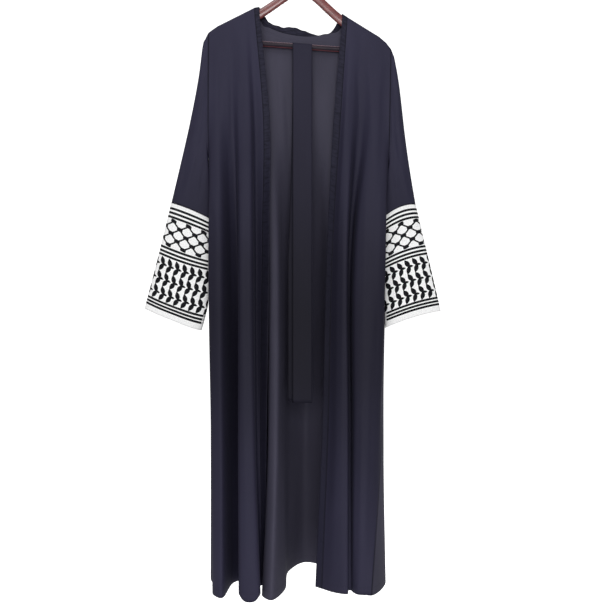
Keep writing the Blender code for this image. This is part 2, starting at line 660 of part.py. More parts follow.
def build_cuff(name, sections):
    """Stiff straight cuff from the sleeve seam to its hem."""
    places, shape = even_places(CUFF_SIDES // 2)
    rings = [section_ring(section, places, shape) for section in sections]
    knots = list(range(len(sections)))
    grid = []
    for n in range(CUFF_ROWS + 1):
        t = knots[-1] * n / CUFF_ROWS
        grid.append([smooth_at(knots, [ring[j] for ring in rings], t) for j in range(CUFF_SIDES)])
    end = section_plane(sections[0])
    end = end if end.z < 0 else -end
    grid[0] = [p + end * (SEAM_GAP / 2) for p in grid[0]]
    half = CUFF_SIDES // 2
    for row, share in CORNER_ROWS:
        for j, p in enumerate(grid[row]):
            k = j if j <= half else 2 * half - j
            toward_corner = max(0.0, (places[k] - CORNER_START) / (1 - CORNER_START))
            p.z += CORNER_LIFT * share * toward_corner ** CORNER_POWER
    normals = grid_normals(grid, closed=True)
    outward(grid, normals)
    square_ring(grid, normals, 0, end)
    finish_tube(name, grid, normals, CUFF_WALL, "white_cotton")


def finish_tube(name, grid, normals, thickness, material_name):
    """Adds a tube with its faces turned out, whichever way its rings run."""
    along = grid[1][1] - grid[1][0]
    down = grid[2][0] - grid[1][0]
    if along.cross(down).dot(normals[1][0]) < 0:
        grid = [ring[::-1] for ring in grid]
        normals = [line[::-1] for line in normals]
    add_wall(name, grid, normals, thickness, material_name, closed=True)


def build_sash():
    """Sash folded over the trouser bar, its back tail slipped a little to the left."""
    radius = BAR_RADIUS + SEAM_GAP + SASH_WALL / 2
    bar_mid = bar_height(SASH_MID_X)
    fall = bar_mid - SASH_END_Z
    path = []
    for share in (FRONT_END, *TAIL_SHARES[::-1]):
        y = -radius + FRONT_LEAN * share + FRONT_SWAY * math.sin(share * FRONT_TURNS)
        path.append((y, bar_mid - fall * share, 0.0))
    for n in range(BAR_STEPS + 1):
        angle = math.pi * n / BAR_STEPS
        path.append((-radius * math.cos(angle), bar_mid + radius * math.sin(angle), 0.0))
    for share in (*TAIL_SHARES, BACK_END):
        y = radius + BACK_LEAN * share + BACK_SWAY * math.sin(share * BACK_TURNS)
        path.append((y, bar_mid - fall * share, SASH_SLIP * min(1.0, share / SLIP_SHARE) ** 2))
    grid = []
    for y, z, slip in path:
        near_bar = max(0.0, 1 - max(0.0, bar_mid - z) / CURL_START)
        row = []
        for w in SASH_ACROSS:
            x = SASH_MID_X - slip + w * SASH_WIDTH
            curl = SASH_CURL * (1 - 4 * w * w) * (1 - near_bar)
            tip = math.tan(TILT) * w * SASH_WIDTH * near_bar
            row.append(Vector((x, y - math.copysign(curl, -y), z - tip)))
        grid.append(row)
    add_wall("sash", grid, grid_normals(grid), SASH_WALL, "black_crepe")


def bar_height(x):
    """Height of the hung trouser bar's middle at x."""
    left, right = hung(-BAR_HALF, 0, BAR_Z), hung(BAR_HALF, 0, BAR_Z)
    return left.z + (right.z - left.z) * (x - left.x) / (right.x - left.x)


def sweep(name, sections, material_name):
    """Solid through rings of points, capped at both ends."""
    size = len(sections[0])
    points = [p for ring in sections for p in ring]
    faces = []
    for n in range(len(sections) - 1):
        for j in range(size):
            k = (j + 1) % size
            faces.append((n * size + j, n * size + k, (n + 1) * size + k, (n + 1) * size + j))
    last = (len(sections) - 1) * size
    faces.append(tuple(range(size))[::-1])
    faces.append(tuple(range(last, last + size)))
    return add_object(name, points, faces, material_name)


def build_hanger():
    """Flat wooden arms in one piece, hung askew about the hook."""
    right = [Vector((x, z, height)) for x, z, height in HANGER_ARM]
    left = [Vector((-p.x, p.y, p.z)) for p in right[:0:-1]]
    path = left + right
    sections = []
    for n, p in enumerate(path):
        before, after = path[max(n - 1, 0)], path[min(n + 1, len(path) - 1)]
        along = Vector((after.x - before.x, after.y - before.y)).normalized()
        ring = []
        for j in range(WOOD_SIDES):
            angle = 2 * math.pi * j / WOOD_SIDES
            flat, tall = math.cos(angle), math.sin(angle)
            y = ARM_THICK / 2 * math.copysign(abs(flat) ** FLAT_POWER, flat)
            rise = p.z / 2 * math.copysign(abs(tall) ** TALL_POWER, tall)
            ring.append(hung(p.x - along.y * rise, y, p.y + along.x * rise))
        sections.append(ring)
    sweep("hanger_arms", sections, "mahogany")


def build_bar():
    """Round trouser bar between the tips of the arms."""
    sections = []
    for x in (-BAR_HALF, BAR_HALF):
        ring = []
        for j in range(WOOD_SIDES):
            angle = 2 * math.pi * j / WOOD_SIDES
            ring.append(hung(x, BAR_RADIUS * math.cos(angle), BAR_Z + BAR_RADIUS * math.sin(angle)))
        sections.append(ring)
    sweep("trouser_bar", sections, "mahogany")


def build_hook():
    """Steel wire hook with its foot on the wood; its inner top is the origin."""
    radius = HOOK_INNER + HOOK_WIRE
    centre_z = -HOOK_INNER
    path = []
    for turn in HOOK_BEND:
        angle = math.radians(turn)
        path.append((radius * math.cos(angle), centre_z + radius * math.sin(angle), HOOK_WIRE))
    path += HOOK_SHANK
    sections = []
    for n, (x, z, wire) in enumerate(path):
        before, after = path[max(n - 1, 0)], path[min(n + 1, len(path) - 1)]
        along = Vector((after[0] - before[0], after[1] - before[1])).normalized()
        ring = []
        for j in range(HOOK_SIDES):
            angle = 2 * math.pi * j / HOOK_SIDES
            reach = wire * math.sin(angle)
            ring.append(hung(x - along.y * reach, wire * math.cos(angle), z + along.x * reach))
        sections.append(ring)
    sweep("hook", sections, "steel")


def main():
    for old in list(bpy.data.objects):
        bpy.data.objects.remove(old, do_unlink=True)
    armholes = build_body()
    build_sleeve("sleeve_left", LEFT_SLEEVE, armholes[-1], -1)
    build_sleeve("sleeve_right", RIGHT_SLEEVE, armholes[1], 1)
    build_cuff("cuff_left", LEFT_CUFF)
    build_cuff("cuff_right", RIGHT_CUFF)
    build_sash()
    build_hanger()
    build_bar()
    build_hook()


main()
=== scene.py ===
"""Looks of an open-front abaya with keffiyeh cuffs, hung on a wooden hanger with its sash.

Metres, +Z up, the front towards -Y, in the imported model's own frame. The tables that shape the
cloth are in millimetres and are scaled where the mesh is made.
"""
import math
from bisect import bisect

import bmesh
import bpy
from mathutils import Matrix, Vector, noise


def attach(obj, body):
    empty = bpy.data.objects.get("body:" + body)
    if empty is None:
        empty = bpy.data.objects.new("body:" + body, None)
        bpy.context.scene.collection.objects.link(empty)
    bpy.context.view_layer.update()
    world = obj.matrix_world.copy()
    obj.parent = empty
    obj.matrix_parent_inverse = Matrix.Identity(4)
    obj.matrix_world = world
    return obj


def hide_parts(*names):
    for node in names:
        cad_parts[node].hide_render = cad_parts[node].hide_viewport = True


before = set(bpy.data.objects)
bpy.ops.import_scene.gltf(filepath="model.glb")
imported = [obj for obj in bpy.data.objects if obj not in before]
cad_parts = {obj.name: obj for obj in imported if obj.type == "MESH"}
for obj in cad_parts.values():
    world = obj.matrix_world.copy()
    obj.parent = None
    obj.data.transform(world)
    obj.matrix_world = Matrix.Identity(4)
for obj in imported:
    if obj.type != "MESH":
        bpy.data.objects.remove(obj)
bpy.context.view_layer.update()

# The photo room: a round white cove that runs from floor to wall, lit by large soft lamps.
# It stands well outside the garment and isn't part of it. The camera looks level at the
# middle of the abaya, where the photograph was taken from.
MM = 0.001
FLOOR_Z = -1.80
FLOOR_RADIUS = 3.8
ROOM_SIDES = 96
COVE = 0.9
COVE_STEPS = 12
WALL_HEIGHT = 3.2


def start_finish(name, settings):
    """A material whose shader has the given socket values."""
    finish = bpy.data.materials.new(name)
    finish.use_nodes = True
    shader = finish.node_tree.nodes["Principled BSDF"]
    for socket, value in settings.items():
        shader.inputs[socket].default_value = value
    return finish


def make_piece(name, mesh, finish, crisp_angle=None):
    """The object of a finished bmesh, shaded smooth, with hard edges past the crisp angle."""
    data = bpy.data.meshes.new(name)
    mesh.to_mesh(data)
    mesh.free()
    data.shade_smooth()
    if crisp_angle:
        data.set_sharp_from_angle(angle=math.radians(crisp_angle))
    data.materials.append(finish)
    piece = bpy.data.objects.new(name, data)
    bpy.context.collection.objects.link(piece)
    return piece


def free_ring(made):
    """The open edges among what an extrude has just made."""
    return [part for part in made if isinstance(part, bmesh.types.BMEdge) and part.is_boundary]


def corners(made):
    return [part for part in made if isinstance(part, bmesh.types.BMVert)]


cove = bmesh.new()
bmesh.ops.create_circle(cove, cap_ends=True, radius=FLOOR_RADIUS, segments=ROOM_SIDES)
bmesh.ops.translate(cove, verts=cove.verts, vec=(0.0, 0.0, FLOOR_Z))
rim = [edge for edge in cove.edges if edge.is_boundary]
reach = FLOOR_RADIUS
height = 0.0
for step in range(1, COVE_STEPS + 1):
    turn = math.pi / 2 * step / COVE_STEPS
    made = bmesh.ops.extrude_edge_only(cove, edges=rim)["geom"]
    new_reach = FLOOR_RADIUS + COVE * math.sin(turn)
    new_height = COVE * (1 - math.cos(turn))
    spread = new_reach / reach
    bmesh.ops.scale(cove, verts=corners(made), vec=(spread, spread, 1.0))
    bmesh.ops.translate(cove, verts=corners(made), vec=(0.0, 0.0, new_height - height))
    rim = free_ring(made)
    reach, height = new_reach, new_height
made = bmesh.ops.extrude_edge_only(cove, edges=rim)["geom"]
bmesh.ops.translate(cove, verts=corners(made), vec=(0.0, 0.0, WALL_HEIGHT))
bmesh.ops.reverse_faces(cove, faces=[face for face in cove.faces if face.normal.z < -0.99])
white_paint = start_finish("white_room_paint", {
    "Base Color": (0.92, 0.92, 0.92, 1.0), "Roughness": 0.9, "Specular IOR Level": 0.0,
    "Emission Color": (1.0, 1.0, 1.0, 1.0), "Emission Strength": 0.8})
room = make_piece("white_room", cove, white_paint)
room.visible_diffuse = False
room.visible_glossy = False
room.visible_shadow = False


def soft_lamp(name, place, aim, size, power):
    """A square soft box at a place, turned towards its aim."""
    lamp = bpy.data.lights.new(name, "AREA")
    lamp.size = size
    lamp.energy = power
    holder = bpy.data.objects.new(name, lamp)
    holder.location = place
    holder.rotation_euler = (Vector(aim) - Vector(place)).to_track_quat("-Z", "Y").to_euler()
    bpy.context.collection.objects.link(holder)


soft_lamp("key_box", (0.25, -3.3, -0.1), (0.0, 0.0, -0.8), 1.5, 46.0)
soft_lamp("fill_box", (-1.3, -3.0, -0.9), (0.0, 0.0, -0.9), 1.8, 16.0)
soft_lamp("back_box", (0.4, 2.4, 0.2), (0.0, 0.0, -0.8), 1.8, 40.0)
soft_lamp("top_box", (-0.3, -0.9, 0.8), (0.0, 0.0, -0.3), 0.7, 5.0)
soft_lamp("floor_box", (0.2, -0.9, -1.68), (0.0, 0.0, -1.2), 0.7, 2.0)

sky = bpy.data.worlds.new("soft_sky")
sky.use_nodes = True
sky.node_tree.nodes["Background"].inputs["Color"].default_value = (1.0, 1.0, 1.0, 1.0)
sky.node_tree.nodes["Background"].inputs["Strength"].default_value = 0.46
bpy.context.scene.world = sky
bpy.context.scene.view_settings.view_transform = "Standard"

CAMERA_PLACE = (-0.0055, -1.8, -0.84)
CAMERA_LENS = 44.93
camera_data = bpy.data.cameras.new("photo_camera")
camera_data.lens = CAMERA_LENS
camera_data.sensor_width = 36.0
camera = bpy.data.objects.new("photo_camera", camera_data)
camera.location = CAMERA_PLACE
camera.rotation_euler = (math.pi / 2, 0.0, 0.0)
bpy.context.collection.objects.link(camera)
bpy.context.scene.camera = camera


# The hook: polished steel wire bent round to carry the hanger on a rail, its end rounded off
# and its shank screwed into the wood through a small turned collar.
TILT = math.radians(4.2)
WIRE = 1.9
WIRE_SIDES = 20
HOOK_BEND = 20.9
HOOK_CENTRE_Z = -19.0
# Angle round the bend, and share of the wire's width, where its free end is rounded off
HOOK_END = ((200.6, 0.3), (200.0, 0.62), (198.6, 0.87), (196.6, 1.0))
HOOK_START, HOOK_TURN, HOOK_STEPS = 195.0, 7.5, 35
# The last spot of the bend, then x, z and half width down the shank
BEND_FOOT = (8.5, -39.5)
SHANK = ((4.6, -44.5, 1.9), (2.4, -48.4, 1.9), (1, -52, 1.9), (0.2, -56, 1.9), (0, -60, 1.9),
         (0, -69.3, 1.9), (0, -69.5, 4.4), (0, -70.3, 5), (0, -72, 5), (0, -72.5, 4.5),
         (0, -73, 5.4), (0, -75.5, 5.5))


def add_step(finish, kind, inputs, **settings):
    """A texture or maths step of a finish, with its inputs set or linked by name."""
    node = finish.node_tree.nodes.new("ShaderNode" + kind)
    for setting, value in settings.items():
        setattr(node, setting, value)
    for socket, value in inputs.items():
        if isinstance(value, bpy.types.NodeSocket):
            finish.node_tree.links.new(value, node.inputs[socket])
        else:
            node.inputs[socket].default_value = value
    return node


def feed(finish, socket, source):
    """Links a worked-out value to a socket of the finish's shader."""
    finish.node_tree.links.new(source, finish.node_tree.nodes["Principled BSDF"].inputs[socket])


def spot_on(finish):
    return add_step(finish, "TexCoord", {}).outputs["Object"]


def speckle(finish, spot, scale, detail, stretch=None, **more):
    """Noise over the spots, drawn out by a scale for each way where a stretch is given."""
    if stretch:
        spot = add_step(finish, "Mapping", {"Vector": spot, "Scale": stretch}).outputs["Vector"]
    inputs = {"Vector": spot, "Scale": scale, "Detail": detail, **more}
    return add_step(finish, "TexNoise", inputs).outputs["Fac"]


def shades(finish, amount, stops):
    """Colours laid out along an amount from 0 to 1."""
    ramp = add_step(finish, "ValToRGB", {"Fac": amount})
    line = ramp.color_ramp.elements
    while len(line) < len(stops):
        line.new(0.5)
    for element, (place, colour) in zip(line, stops):
        element.position = place
        element.color = (*colour, 1.0)
    return ramp.outputs["Color"]


def ring_place(x, z, along_x, along_z, deep, tall):
    """Where a unit ring goes: its middle, the way that it faces, and its half depth and height."""
    along = Vector((along_x, 0.0, along_z)).normalized()
    place = Matrix.Identity(4)
    place.col[0] = (0.0, deep * MM, 0.0, 0.0)
    place.col[1] = (-along.z * tall * MM, 0.0, along.x * tall * MM, 0.0)
    place.col[2] = (*along, 0.0)
    place.col[3] = (x * MM, 0.0, z * MM, 1.0)
    return place


def pull_through(mesh, ring, places):
    """Pulls a ring of edges through a run of places, and closes it at both ends."""
    bmesh.ops.transform(mesh, matrix=places[0], verts=list({v for edge in ring for v in edge.verts}))
    first = list(ring)
    for before, after in zip(places, places[1:]):
        made = bmesh.ops.extrude_edge_only(mesh, edges=ring)["geom"]
        bmesh.ops.transform(mesh, matrix=after @ before.inverted(), verts=corners(made))
        ring = free_ring(made)
    bmesh.ops.holes_fill(mesh, edges=first)
    bmesh.ops.holes_fill(mesh, edges=ring)
    bmesh.ops.recalc_face_normals(mesh, faces=mesh.faces)


def stand_in(piece, node):
    """Puts a piece in the place of a node of the frame."""
    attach(piece, "root")
    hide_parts(node)


wire_mesh = bmesh.new()
bmesh.ops.create_circle(wire_mesh, radius=1.0, segments=WIRE_SIDES)
run = [(math.radians(angle), WIRE * share) for angle, share in HOOK_END]
run += [(math.radians(HOOK_START - HOOK_TURN * step), WIRE) for step in range(HOOK_STEPS)]
places = []
for angle, reach in run:
    x, z = HOOK_BEND * math.cos(angle), HOOK_CENTRE_Z + HOOK_BEND * math.sin(angle)
    places.append(ring_place(x, z, math.sin(angle), -math.cos(angle), reach, reach))
line = [(x, z) for x, z, reach in SHANK]
for number, (x, z, reach) in enumerate(SHANK):
    before = line[number - 1] if number else BEND_FOOT
    after = line[min(number + 1, len(line) - 1)]
    places.append(ring_place(x, z, after[0] - before[0], after[1] - before[1], reach, reach))
pull_through(wire_mesh, list(wire_mesh.edges), places)
bmesh.ops.rotate(wire_mesh, verts=wire_mesh.verts, cent=(0, 0, 0), matrix=Matrix.Rotation(TILT, 3, "Y"))

steel = start_finish("polished_steel", {"Base Color": (0.46, 0.46, 0.48, 1.0), "Metallic": 1.0})
drawn = speckle(steel, spot_on(steel), 700.0, 3.0)
smudge = add_step(steel, "MapRange", {"Value": drawn, "To Min": 0.16, "To Max": 0.3})
feed(steel, "Roughness", smudge.outputs["Result"])
stand_in(make_piece("hook_wire", wire_mesh, steel, 40), "hook")


# The arms: flat hardwood with rounded edges, sawn to a low shoulder slope that droops at the
# tips, stained a reddish mahogany and varnished. They hang a little askew on the hook.
ARM_DEPTH = 14.0
ARM_LINE = ((0, -91, 30), (14, -95.5, 27), (28, -106, 23), (46, -121, 20), (66, -137.5, 20),
            (90, -156, 20.5), (106, -166.5, 21), (144, -187.5, 22), (184, -208.5, 21),
            (198, -215.5, 16), (206.5, -222, 13.5), (209, -231, 12.5), (209, -243, 12))
STEPS_BETWEEN = 5
ARM_SIDES = 40
# Powers that square off the arm's round section across and up
FLAT_POWER, TALL_POWER = 0.6, 0.8


def smooth_at(knots, values, t):
    """Point on a smooth curve through the values, at knot position t."""
    last = len(knots) - 1
    k = max(0, min(last - 1, sum(1 for knot in knots[1:-1] if t >= knot)))
    span = knots[k + 1] - knots[k]

    def slope(i):
        before, after = max(i - 1, 0), min(i + 1, last)
        if before == i or after == i:
            return (values[after] - values[before]) / (knots[after] - knots[before])
        left = (values[i] - values[before]) / (knots[i] - knots[before])
        right = (values[after] - values[i]) / (knots[after] - knots[i])
        share = (knots[i] - knots[before]) / (knots[after] - knots[before])
        return left * (1 - share) + right * share

    s = (t - knots[k]) / span
    start, end = values[k], values[k + 1]
    blend = start * (2 * s ** 3 - 3 * s ** 2 + 1) + end * (3 * s ** 2 - 2 * s ** 3)
    return blend + slope(k) * (span * (s ** 3 - 2 * s ** 2 + s)) + slope(k + 1) * (span * (s ** 3 - s ** 2))


wood_mesh = bmesh.new()
bmesh.ops.create_circle(wood_mesh, radius=1.0, segments=ARM_SIDES)
for vert in wood_mesh.verts:
    flat, tall = vert.co.x, vert.co.y
    vert.co.x = math.copysign(abs(flat) ** FLAT_POWER, flat)
    vert.co.y = math.copysign(abs(tall) ** TALL_POWER, tall)
right_arm = [Vector(station) for station in ARM_LINE]
stations = [Vector((-s.x, s.y, s.z)) for s in right_arm[:0:-1]] + right_arm
knots = list(range(len(stations)))
line = [smooth_at(knots, stations, n / STEPS_BETWEEN) for n in range(STEPS_BETWEEN * knots[-1] + 1)]
places = []
for number, station in enumerate(line):
    before, after = line[max(number - 1, 0)], line[min(number + 1, len(line) - 1)]
    places.append(ring_place(station.x, station.y, after.x - before.x, after.y - before.y,
                             ARM_DEPTH / 2, station.z / 2))
pull_through(wood_mesh, list(wood_mesh.edges), places)
bmesh.ops.rotate(wood_mesh, verts=wood_mesh.verts, cent=(0, 0, 0), matrix=Matrix.Rotation(TILT, 3, "Y"))


def reckon(finish, operation, *values, kind="Math"):
    """Result of one sum on amounts or, with the kind VectorMath, on colours."""
    return add_step(finish, kind, dict(enumerate(values)), operation=operation).outputs[0]


def emboss(finish, height, strength, distance):
    """Fine relief on a finish, from a height and its depth in metres."""
    relief = add_step(finish, "Bump", {"Height": height, "Strength": strength, "Distance": distance})
    feed(finish, "Normal", relief.outputs["Normal"])


mahogany = start_finish("varnished_mahogany", {
    "Roughness": 0.34, "Coat Weight": 0.6, "Coat Roughness": 0.12})
grain = speckle(mahogany, spot_on(mahogany), 1.6, 5.0, (7.0, 160.0, 160.0), Distortion=0.6)
pores = speckle(mahogany, spot_on(mahogany), 1.0, 2.0, (60.0, 1500.0, 1500.0))
figure = reckon(mahogany, "MULTIPLY_ADD", grain, pores, 0.12)
feed(mahogany, "Base Color", shades(mahogany, figure, (
    (0.22, (0.070, 0.013, 0.013)), (0.40, (0.165, 0.034, 0.032)), (0.58, (0.27, 0.066, 0.058)))))
emboss(mahogany, figure, 0.15, 0.0004)
stand_in(make_piece("hanger_wood", wood_mesh, mahogany, 50), "hanger_arms")


# The trouser bar: a turned round dowel of the same stained wood, let into the tips of the arms, its colour
# painted much darker than the arms' as shade.
BAR_Z = -230.0
BAR_RADIUS = 6.0
BAR_HALF = 197.0
BAR_SIDES = 40
END_BEVEL = 0.8
bar_mesh = bmesh.new()
bmesh.ops.create_cone(bar_mesh, cap_ends=True, segments=BAR_SIDES, radius1=BAR_RADIUS * MM,
                      radius2=BAR_RADIUS * MM, depth=2 * BAR_HALF * MM)
end_edges = [edge for edge in bar_mesh.edges if abs(edge.verts[0].co.z - edge.verts[1].co.z) < MM]
bmesh.ops.bevel(bar_mesh, geom=end_edges, offset=END_BEVEL * MM, segments=2, profile=0.5,
                affect="EDGES", material=-1)
bmesh.ops.rotate(bar_mesh, verts=bar_mesh.verts, cent=(0, 0, 0), matrix=Matrix.Rotation(math.pi / 2, 3, "Y"))
# How far up the dowel's side a spot is, for painted light: a pale painted highlight along its top, and a
# painted red line of light at its foot
highlight_height = bar_mesh.verts.layers.float.new("highlight_height")
for vert in bar_mesh.verts:
    vert[highlight_height] = 0.5 + 0.5 * vert.co.z / (BAR_RADIUS * MM)
bmesh.ops.translate(bar_mesh, verts=bar_mesh.verts, vec=(0.0, 0.0, BAR_Z * MM))
bmesh.ops.rotate(bar_mesh, verts=bar_mesh.verts, cent=(0, 0, 0), matrix=Matrix.Rotation(TILT, 3, "Y"))
# The dowel's wood is coloured far darker than the arms' mahogany: a painted shade.
shaded_dowel = start_finish("shaded_dowel_wood", {
    "Roughness": 0.5, "Specular IOR Level": 0.12, "Coat Weight": 0.1, "Coat Roughness": 0.1})
grain = speckle(shaded_dowel, spot_on(shaded_dowel), 1.6, 5.0, (9.0, 220.0, 220.0))
shaded_stain = shades(shaded_dowel, grain, (
    (0.35, (0.012, 0.009, 0.016)), (0.52, (0.020, 0.014, 0.022)), (0.68, (0.034, 0.020, 0.028))))
highlight_fac = add_step(shaded_dowel, "Attribute", {}, attribute_name="highlight_height").outputs["Fac"]
# Painted highlights: a pale line along the top of the dowel and a red line at its foot.
painted_highlights = shades(shaded_dowel, highlight_fac, ((0.0, (0.24, 0.065, 0.070)), (0.08, (0.0, 0.0, 0.0)),
                                (0.84, (0.0, 0.0, 0.0)), (0.95, (0.62, 0.40, 0.44))))
feed(shaded_dowel, "Base Color", reckon(shaded_dowel, "ADD", shaded_stain, painted_highlights, kind="VectorMath"))
emboss(shaded_dowel, grain, 0.15, 0.0004)
stand_in(make_piece("bar_dowel", bar_mesh, shaded_dowel, 40), "trouser_bar")


# The back panel: one wide length of soft black crepe, faintly sheer, cut to a low neck curve
# and hung from the shoulder seams. It falls in deep uneven pleats that widen towards the hem.
HALF_ARM = 9.5
SHOULDER = ((-232, -199.5), (-229.2, -197), (-222, -191.5), (-208, -181.8), (-120.6, -138),
            (-105, -135.5), (86, -151.6), (99.2, -160), (176, -207.5), (192, -221.5),
            (203.2, -236), (206, -240))
NECK = ((-120.6, -138, 0), (-116.7, -139.2, 4.5), (-112.8, -146.5, 9.6), (-108.9, -158.5, 10.8),
        (-105, -168.5, 11), (-84.5, -181.5, 11.2), (-60.5, -191.4, 11.2), (-36.6, -197.4, 11.2),
        (-12.7, -201, 11.2), (11.3, -202.2, 11.2), (35.2, -199.8, 11.2), (59.1, -195, 11.2),
        (82.5, -185.5, 11), (90.5, -173.5, 10.8), (95, -163.5, 9.6), (97.8, -160.5, 6),
        (99.2, -160, 0))
# Levels below the arm at which each fold's plan is given
FOLD_LEVELS = (-150.0, -428.0, -654.0, -1166.0, -1517.0)
# Strips to the next fold, x at the shoulder, then x and y at the four lower levels
LEFT_FOLDS = (
    (2, -109, (-83.4, -14), (-84.5, -16), (-92.1, -6), (-95, 2)),
    (2, -120.6, (-99, -11), (-101.8, -2), (-107, 6), (-104.5, 14)),
    (3, -131.6, (-119.2, -8), (-117.6, 4), (-115.5, 6), (-110, 2)),
    (2, -145.9, (-129.7, -28), (-126.7, -54), (-119.7, -72), (-107.4, -86)),
    (3, -162.6, (-155.6, -26), (-151.1, -52), (-149.6, -70), (-146.2, -84)),
    (2, -179.2, (-168.8, -14), (-163, 2), (-157.3, 32), (-153.4, 48)),
    (2, -193.5, (-182.4, -17), (-176.9, -6), (-173.9, 14), (-172, 34)),
    (2, -210.2, (-204.7, -26), (-198, -50), (-194.5, -60), (-193.5, -66)),
    (2, -221, (-219.6, -22), (-224.5, -38), (-217.9, -44), (-213.1, -46)),
)
BACK_FOLDS = (
    (2, -222.5, (-221, 17), (-231.5, 40), (-231, 54), (-232.7, 68)),
    (2, -205.4, (-203.4, 24), (-212.8, 66), (-216.1, 96), (-218.5, 118)),
    (2, -176.9, (-171, 14), (-174.9, 30), (-179.2, 50), (-183, 64)),
    (3, -148.3, (-138.1, 24), (-143.8, 68), (-146.5, 104), (-148.1, 126)),
    (4, -120.6, (-112, 15), (-110, 36), (-92, 40), (-86, 22)),
    (2, -105, (-94, 12), (-85, 7), (-84, -22), (-100, -50)),
    (2, -84.5, (-79.7, 11), (-70, 7), (-68, -31), (-78, -78)),
    (3, -60.5, (-53.5, 16), (-54, 34), (-55, 10), (-50, -20)),
    (2, -31.7, (-27.2, 20), (-30.1, 62), (-38, 98), (-41, 112)),
    (2, -0.7, (1.7, 22), (2, 84), (2.2, 136), (-0.3, 176)),
    (3, 35.2, (32.9, 17), (36.4, 66), (37.5, 114), (36, 160)),
    (3, 86, (66.4, 13), (67.3, 36), (68.4, 62), (69.4, 88)),
    (2, 99.2, (100.6, 23), (103.4, 72), (105.7, 112), (107.6, 144)),
    (2, 119, (131.2, 14), (135.1, 34), (136.7, 54), (138.1, 72)),
    (2, 150, (165.2, 24), (172.1, 66), (172.1, 92), (171.5, 112)),
    (2, 190, (189.8, 16), (196, 40), (189.1, 40), (195.2, 40)),
)
RIGHT_FOLDS = (
    (2, 87.3, (65.6, -9), (53.9, -4), (39.7, 0), (24.3, 6)),
    (2, 99.2, (81.9, -14), (67.7, -14), (53.7, -8), (39.5, -8)),
    (2, 108.7, (92.7, -26), (80.6, -35), (74.6, -36), (68.1, -32)),
    (2, 120.6, (107.2, -24), (96.8, -42), (96.7, -44), (97.5, -40)),
    (2, 131, (124, -10), (106, 4), (103, 0), (101.5, -18)),
    (2, 138, (134.5, -10), (113, 4), (108.5, 0), (107.5, -18)),
    (2, 158.7, (151.8, -24), (124, -36), (116, -40), (112, -30)),
    (2, 177.8, (170.3, -27), (154.5, -46), (144.9, -50), (122.3, -44)),
    (2, 193, (189.2, -20), (187.5, -38), (169.6, -34), (140.4, -48)),
)
# Side seams below the underarm: level, then x and y on the left and on the right
SIDE_SEAMS = ((-508.6, -229.2, 0, 196.8, 0), (-540, -227, 1, 194, 1),
              (-590, -219, 2, 182, 2), (-654, -212.9, 3, 172.1, 3),
              (-1166, -215.9, 8, 178.5, -16), (-1517, -220.4, 16, 153, -50))
# The rows of the cloth: 0 to 3 roll over the hanger's arm, 3 to 7 reach the chest, and from
# there each row has its own level and slope. Fine rows and columns lie between them.
ROLL_DROPS = (0.0, 1.8, 5.5, 12.0)
ROLL_DEPTHS = (0.0, 0.47, 0.84, 1.0)
ROW_LEVELS = (-150, -219.5, -289, -358.5, -428, -458, -490, -508.6, -540, -590, -654,
              -780, -910, -1040, -1166, -1290, -1410, -1517)
CHEST_SLOPE = 0.051
ROW_SLOPES = (0.051, 0.051, 0.051, 0.051, 0.045, 0.03, 0.015) + (0.0,) * 7
ROLL_ROW, CHEST_ROW, UNDERARM_ROW = 3, 7, 10
# Rows over which an armhole's seam goes over into a side seam
BLEND_ROWS = 2
FINE_ROWS = (4, 4, 4, 9, 9, 9, 9, 4, 4, 3, 4, 6, 8, 14, 14, 14, 14, 14, 13, 12)
FINE_COLUMNS = 6
ARMHOLE_ROWS = (3, 4, 5, 6, 7, 8, 9, 10)
ARMHOLE_FRONT = (9.5, 12.0, 15.0, 17.0, 18.0, 16.5, 11.0, 0.0)
ARMHOLE_BACK = (9.5, 11.0, 13.0, 14.5, 15.0, 14.0, 9.5, 0.0)
ARMHOLE_LEFT = ((-229.2, -197.0), (-229.2, -497.0))
ARMHOLE_RIGHT = ((202.8, -235.5), (196.8, -518.7))
SEAM_DRAW = 0.15
PANEL_WALL = 1.1
# The least stretch between two folds, and the power that evens out near and far ones
LEAST_GAP, GAP_POWER = 0.01, 0.6
# How far from its seam the cloth is darkened by painted shade, in metres
SEAM_SHADE_REACH = 0.0026
rows = [row + n / steps for row, steps in enumerate(FINE_ROWS) for n in range(steps)] + [len(FINE_ROWS)]


def between(values, t):
    """Value at place t of a list, straight from one to the next."""
    low = max(0, min(len(values) - 2, int(t)))
    return values[low] + (values[low + 1] - values[low]) * (t - low)


def table_at(table, x):
    """Values of a table at x of its first column, on a smooth line."""
    return smooth_at([line[0] for line in table], [Vector(line[1:]) for line in table],
                     max(table[0][0], min(table[-1][0], x)))


def level_at(row):
    return between(ROW_LEVELS, row - ROLL_ROW)


def on_roll(values, row):
    """A value of the roll over the hanger's arm, at a row from 0 to 3."""
    return smooth_at(range(len(values)), values, row)


def fold_spot(fold, side, row):
    """Plan position of a fold in a row. side is -1 in front and +1 behind."""
    if row < ROLL_ROW:
        return Vector((fold[1], side * HALF_ARM * on_roll(ROLL_DEPTHS, row)))
    spots = [Vector((fold[1], side * HALF_ARM))] + [Vector(pair) for pair in fold[2:]]
    return smooth_at([-level for level in FOLD_LEVELS], spots, -level_at(row))


def side_spot(hand, row):
    """Plan position of a side seam: hand is -1 on the left and +1 on the right."""
    first = 1 if hand < 0 else 3
    spots = [Vector((line[first], line[first + 1])) for line in SIDE_SEAMS]
    return smooth_at([-line[0] for line in SIDE_SEAMS], spots, -level_at(row))


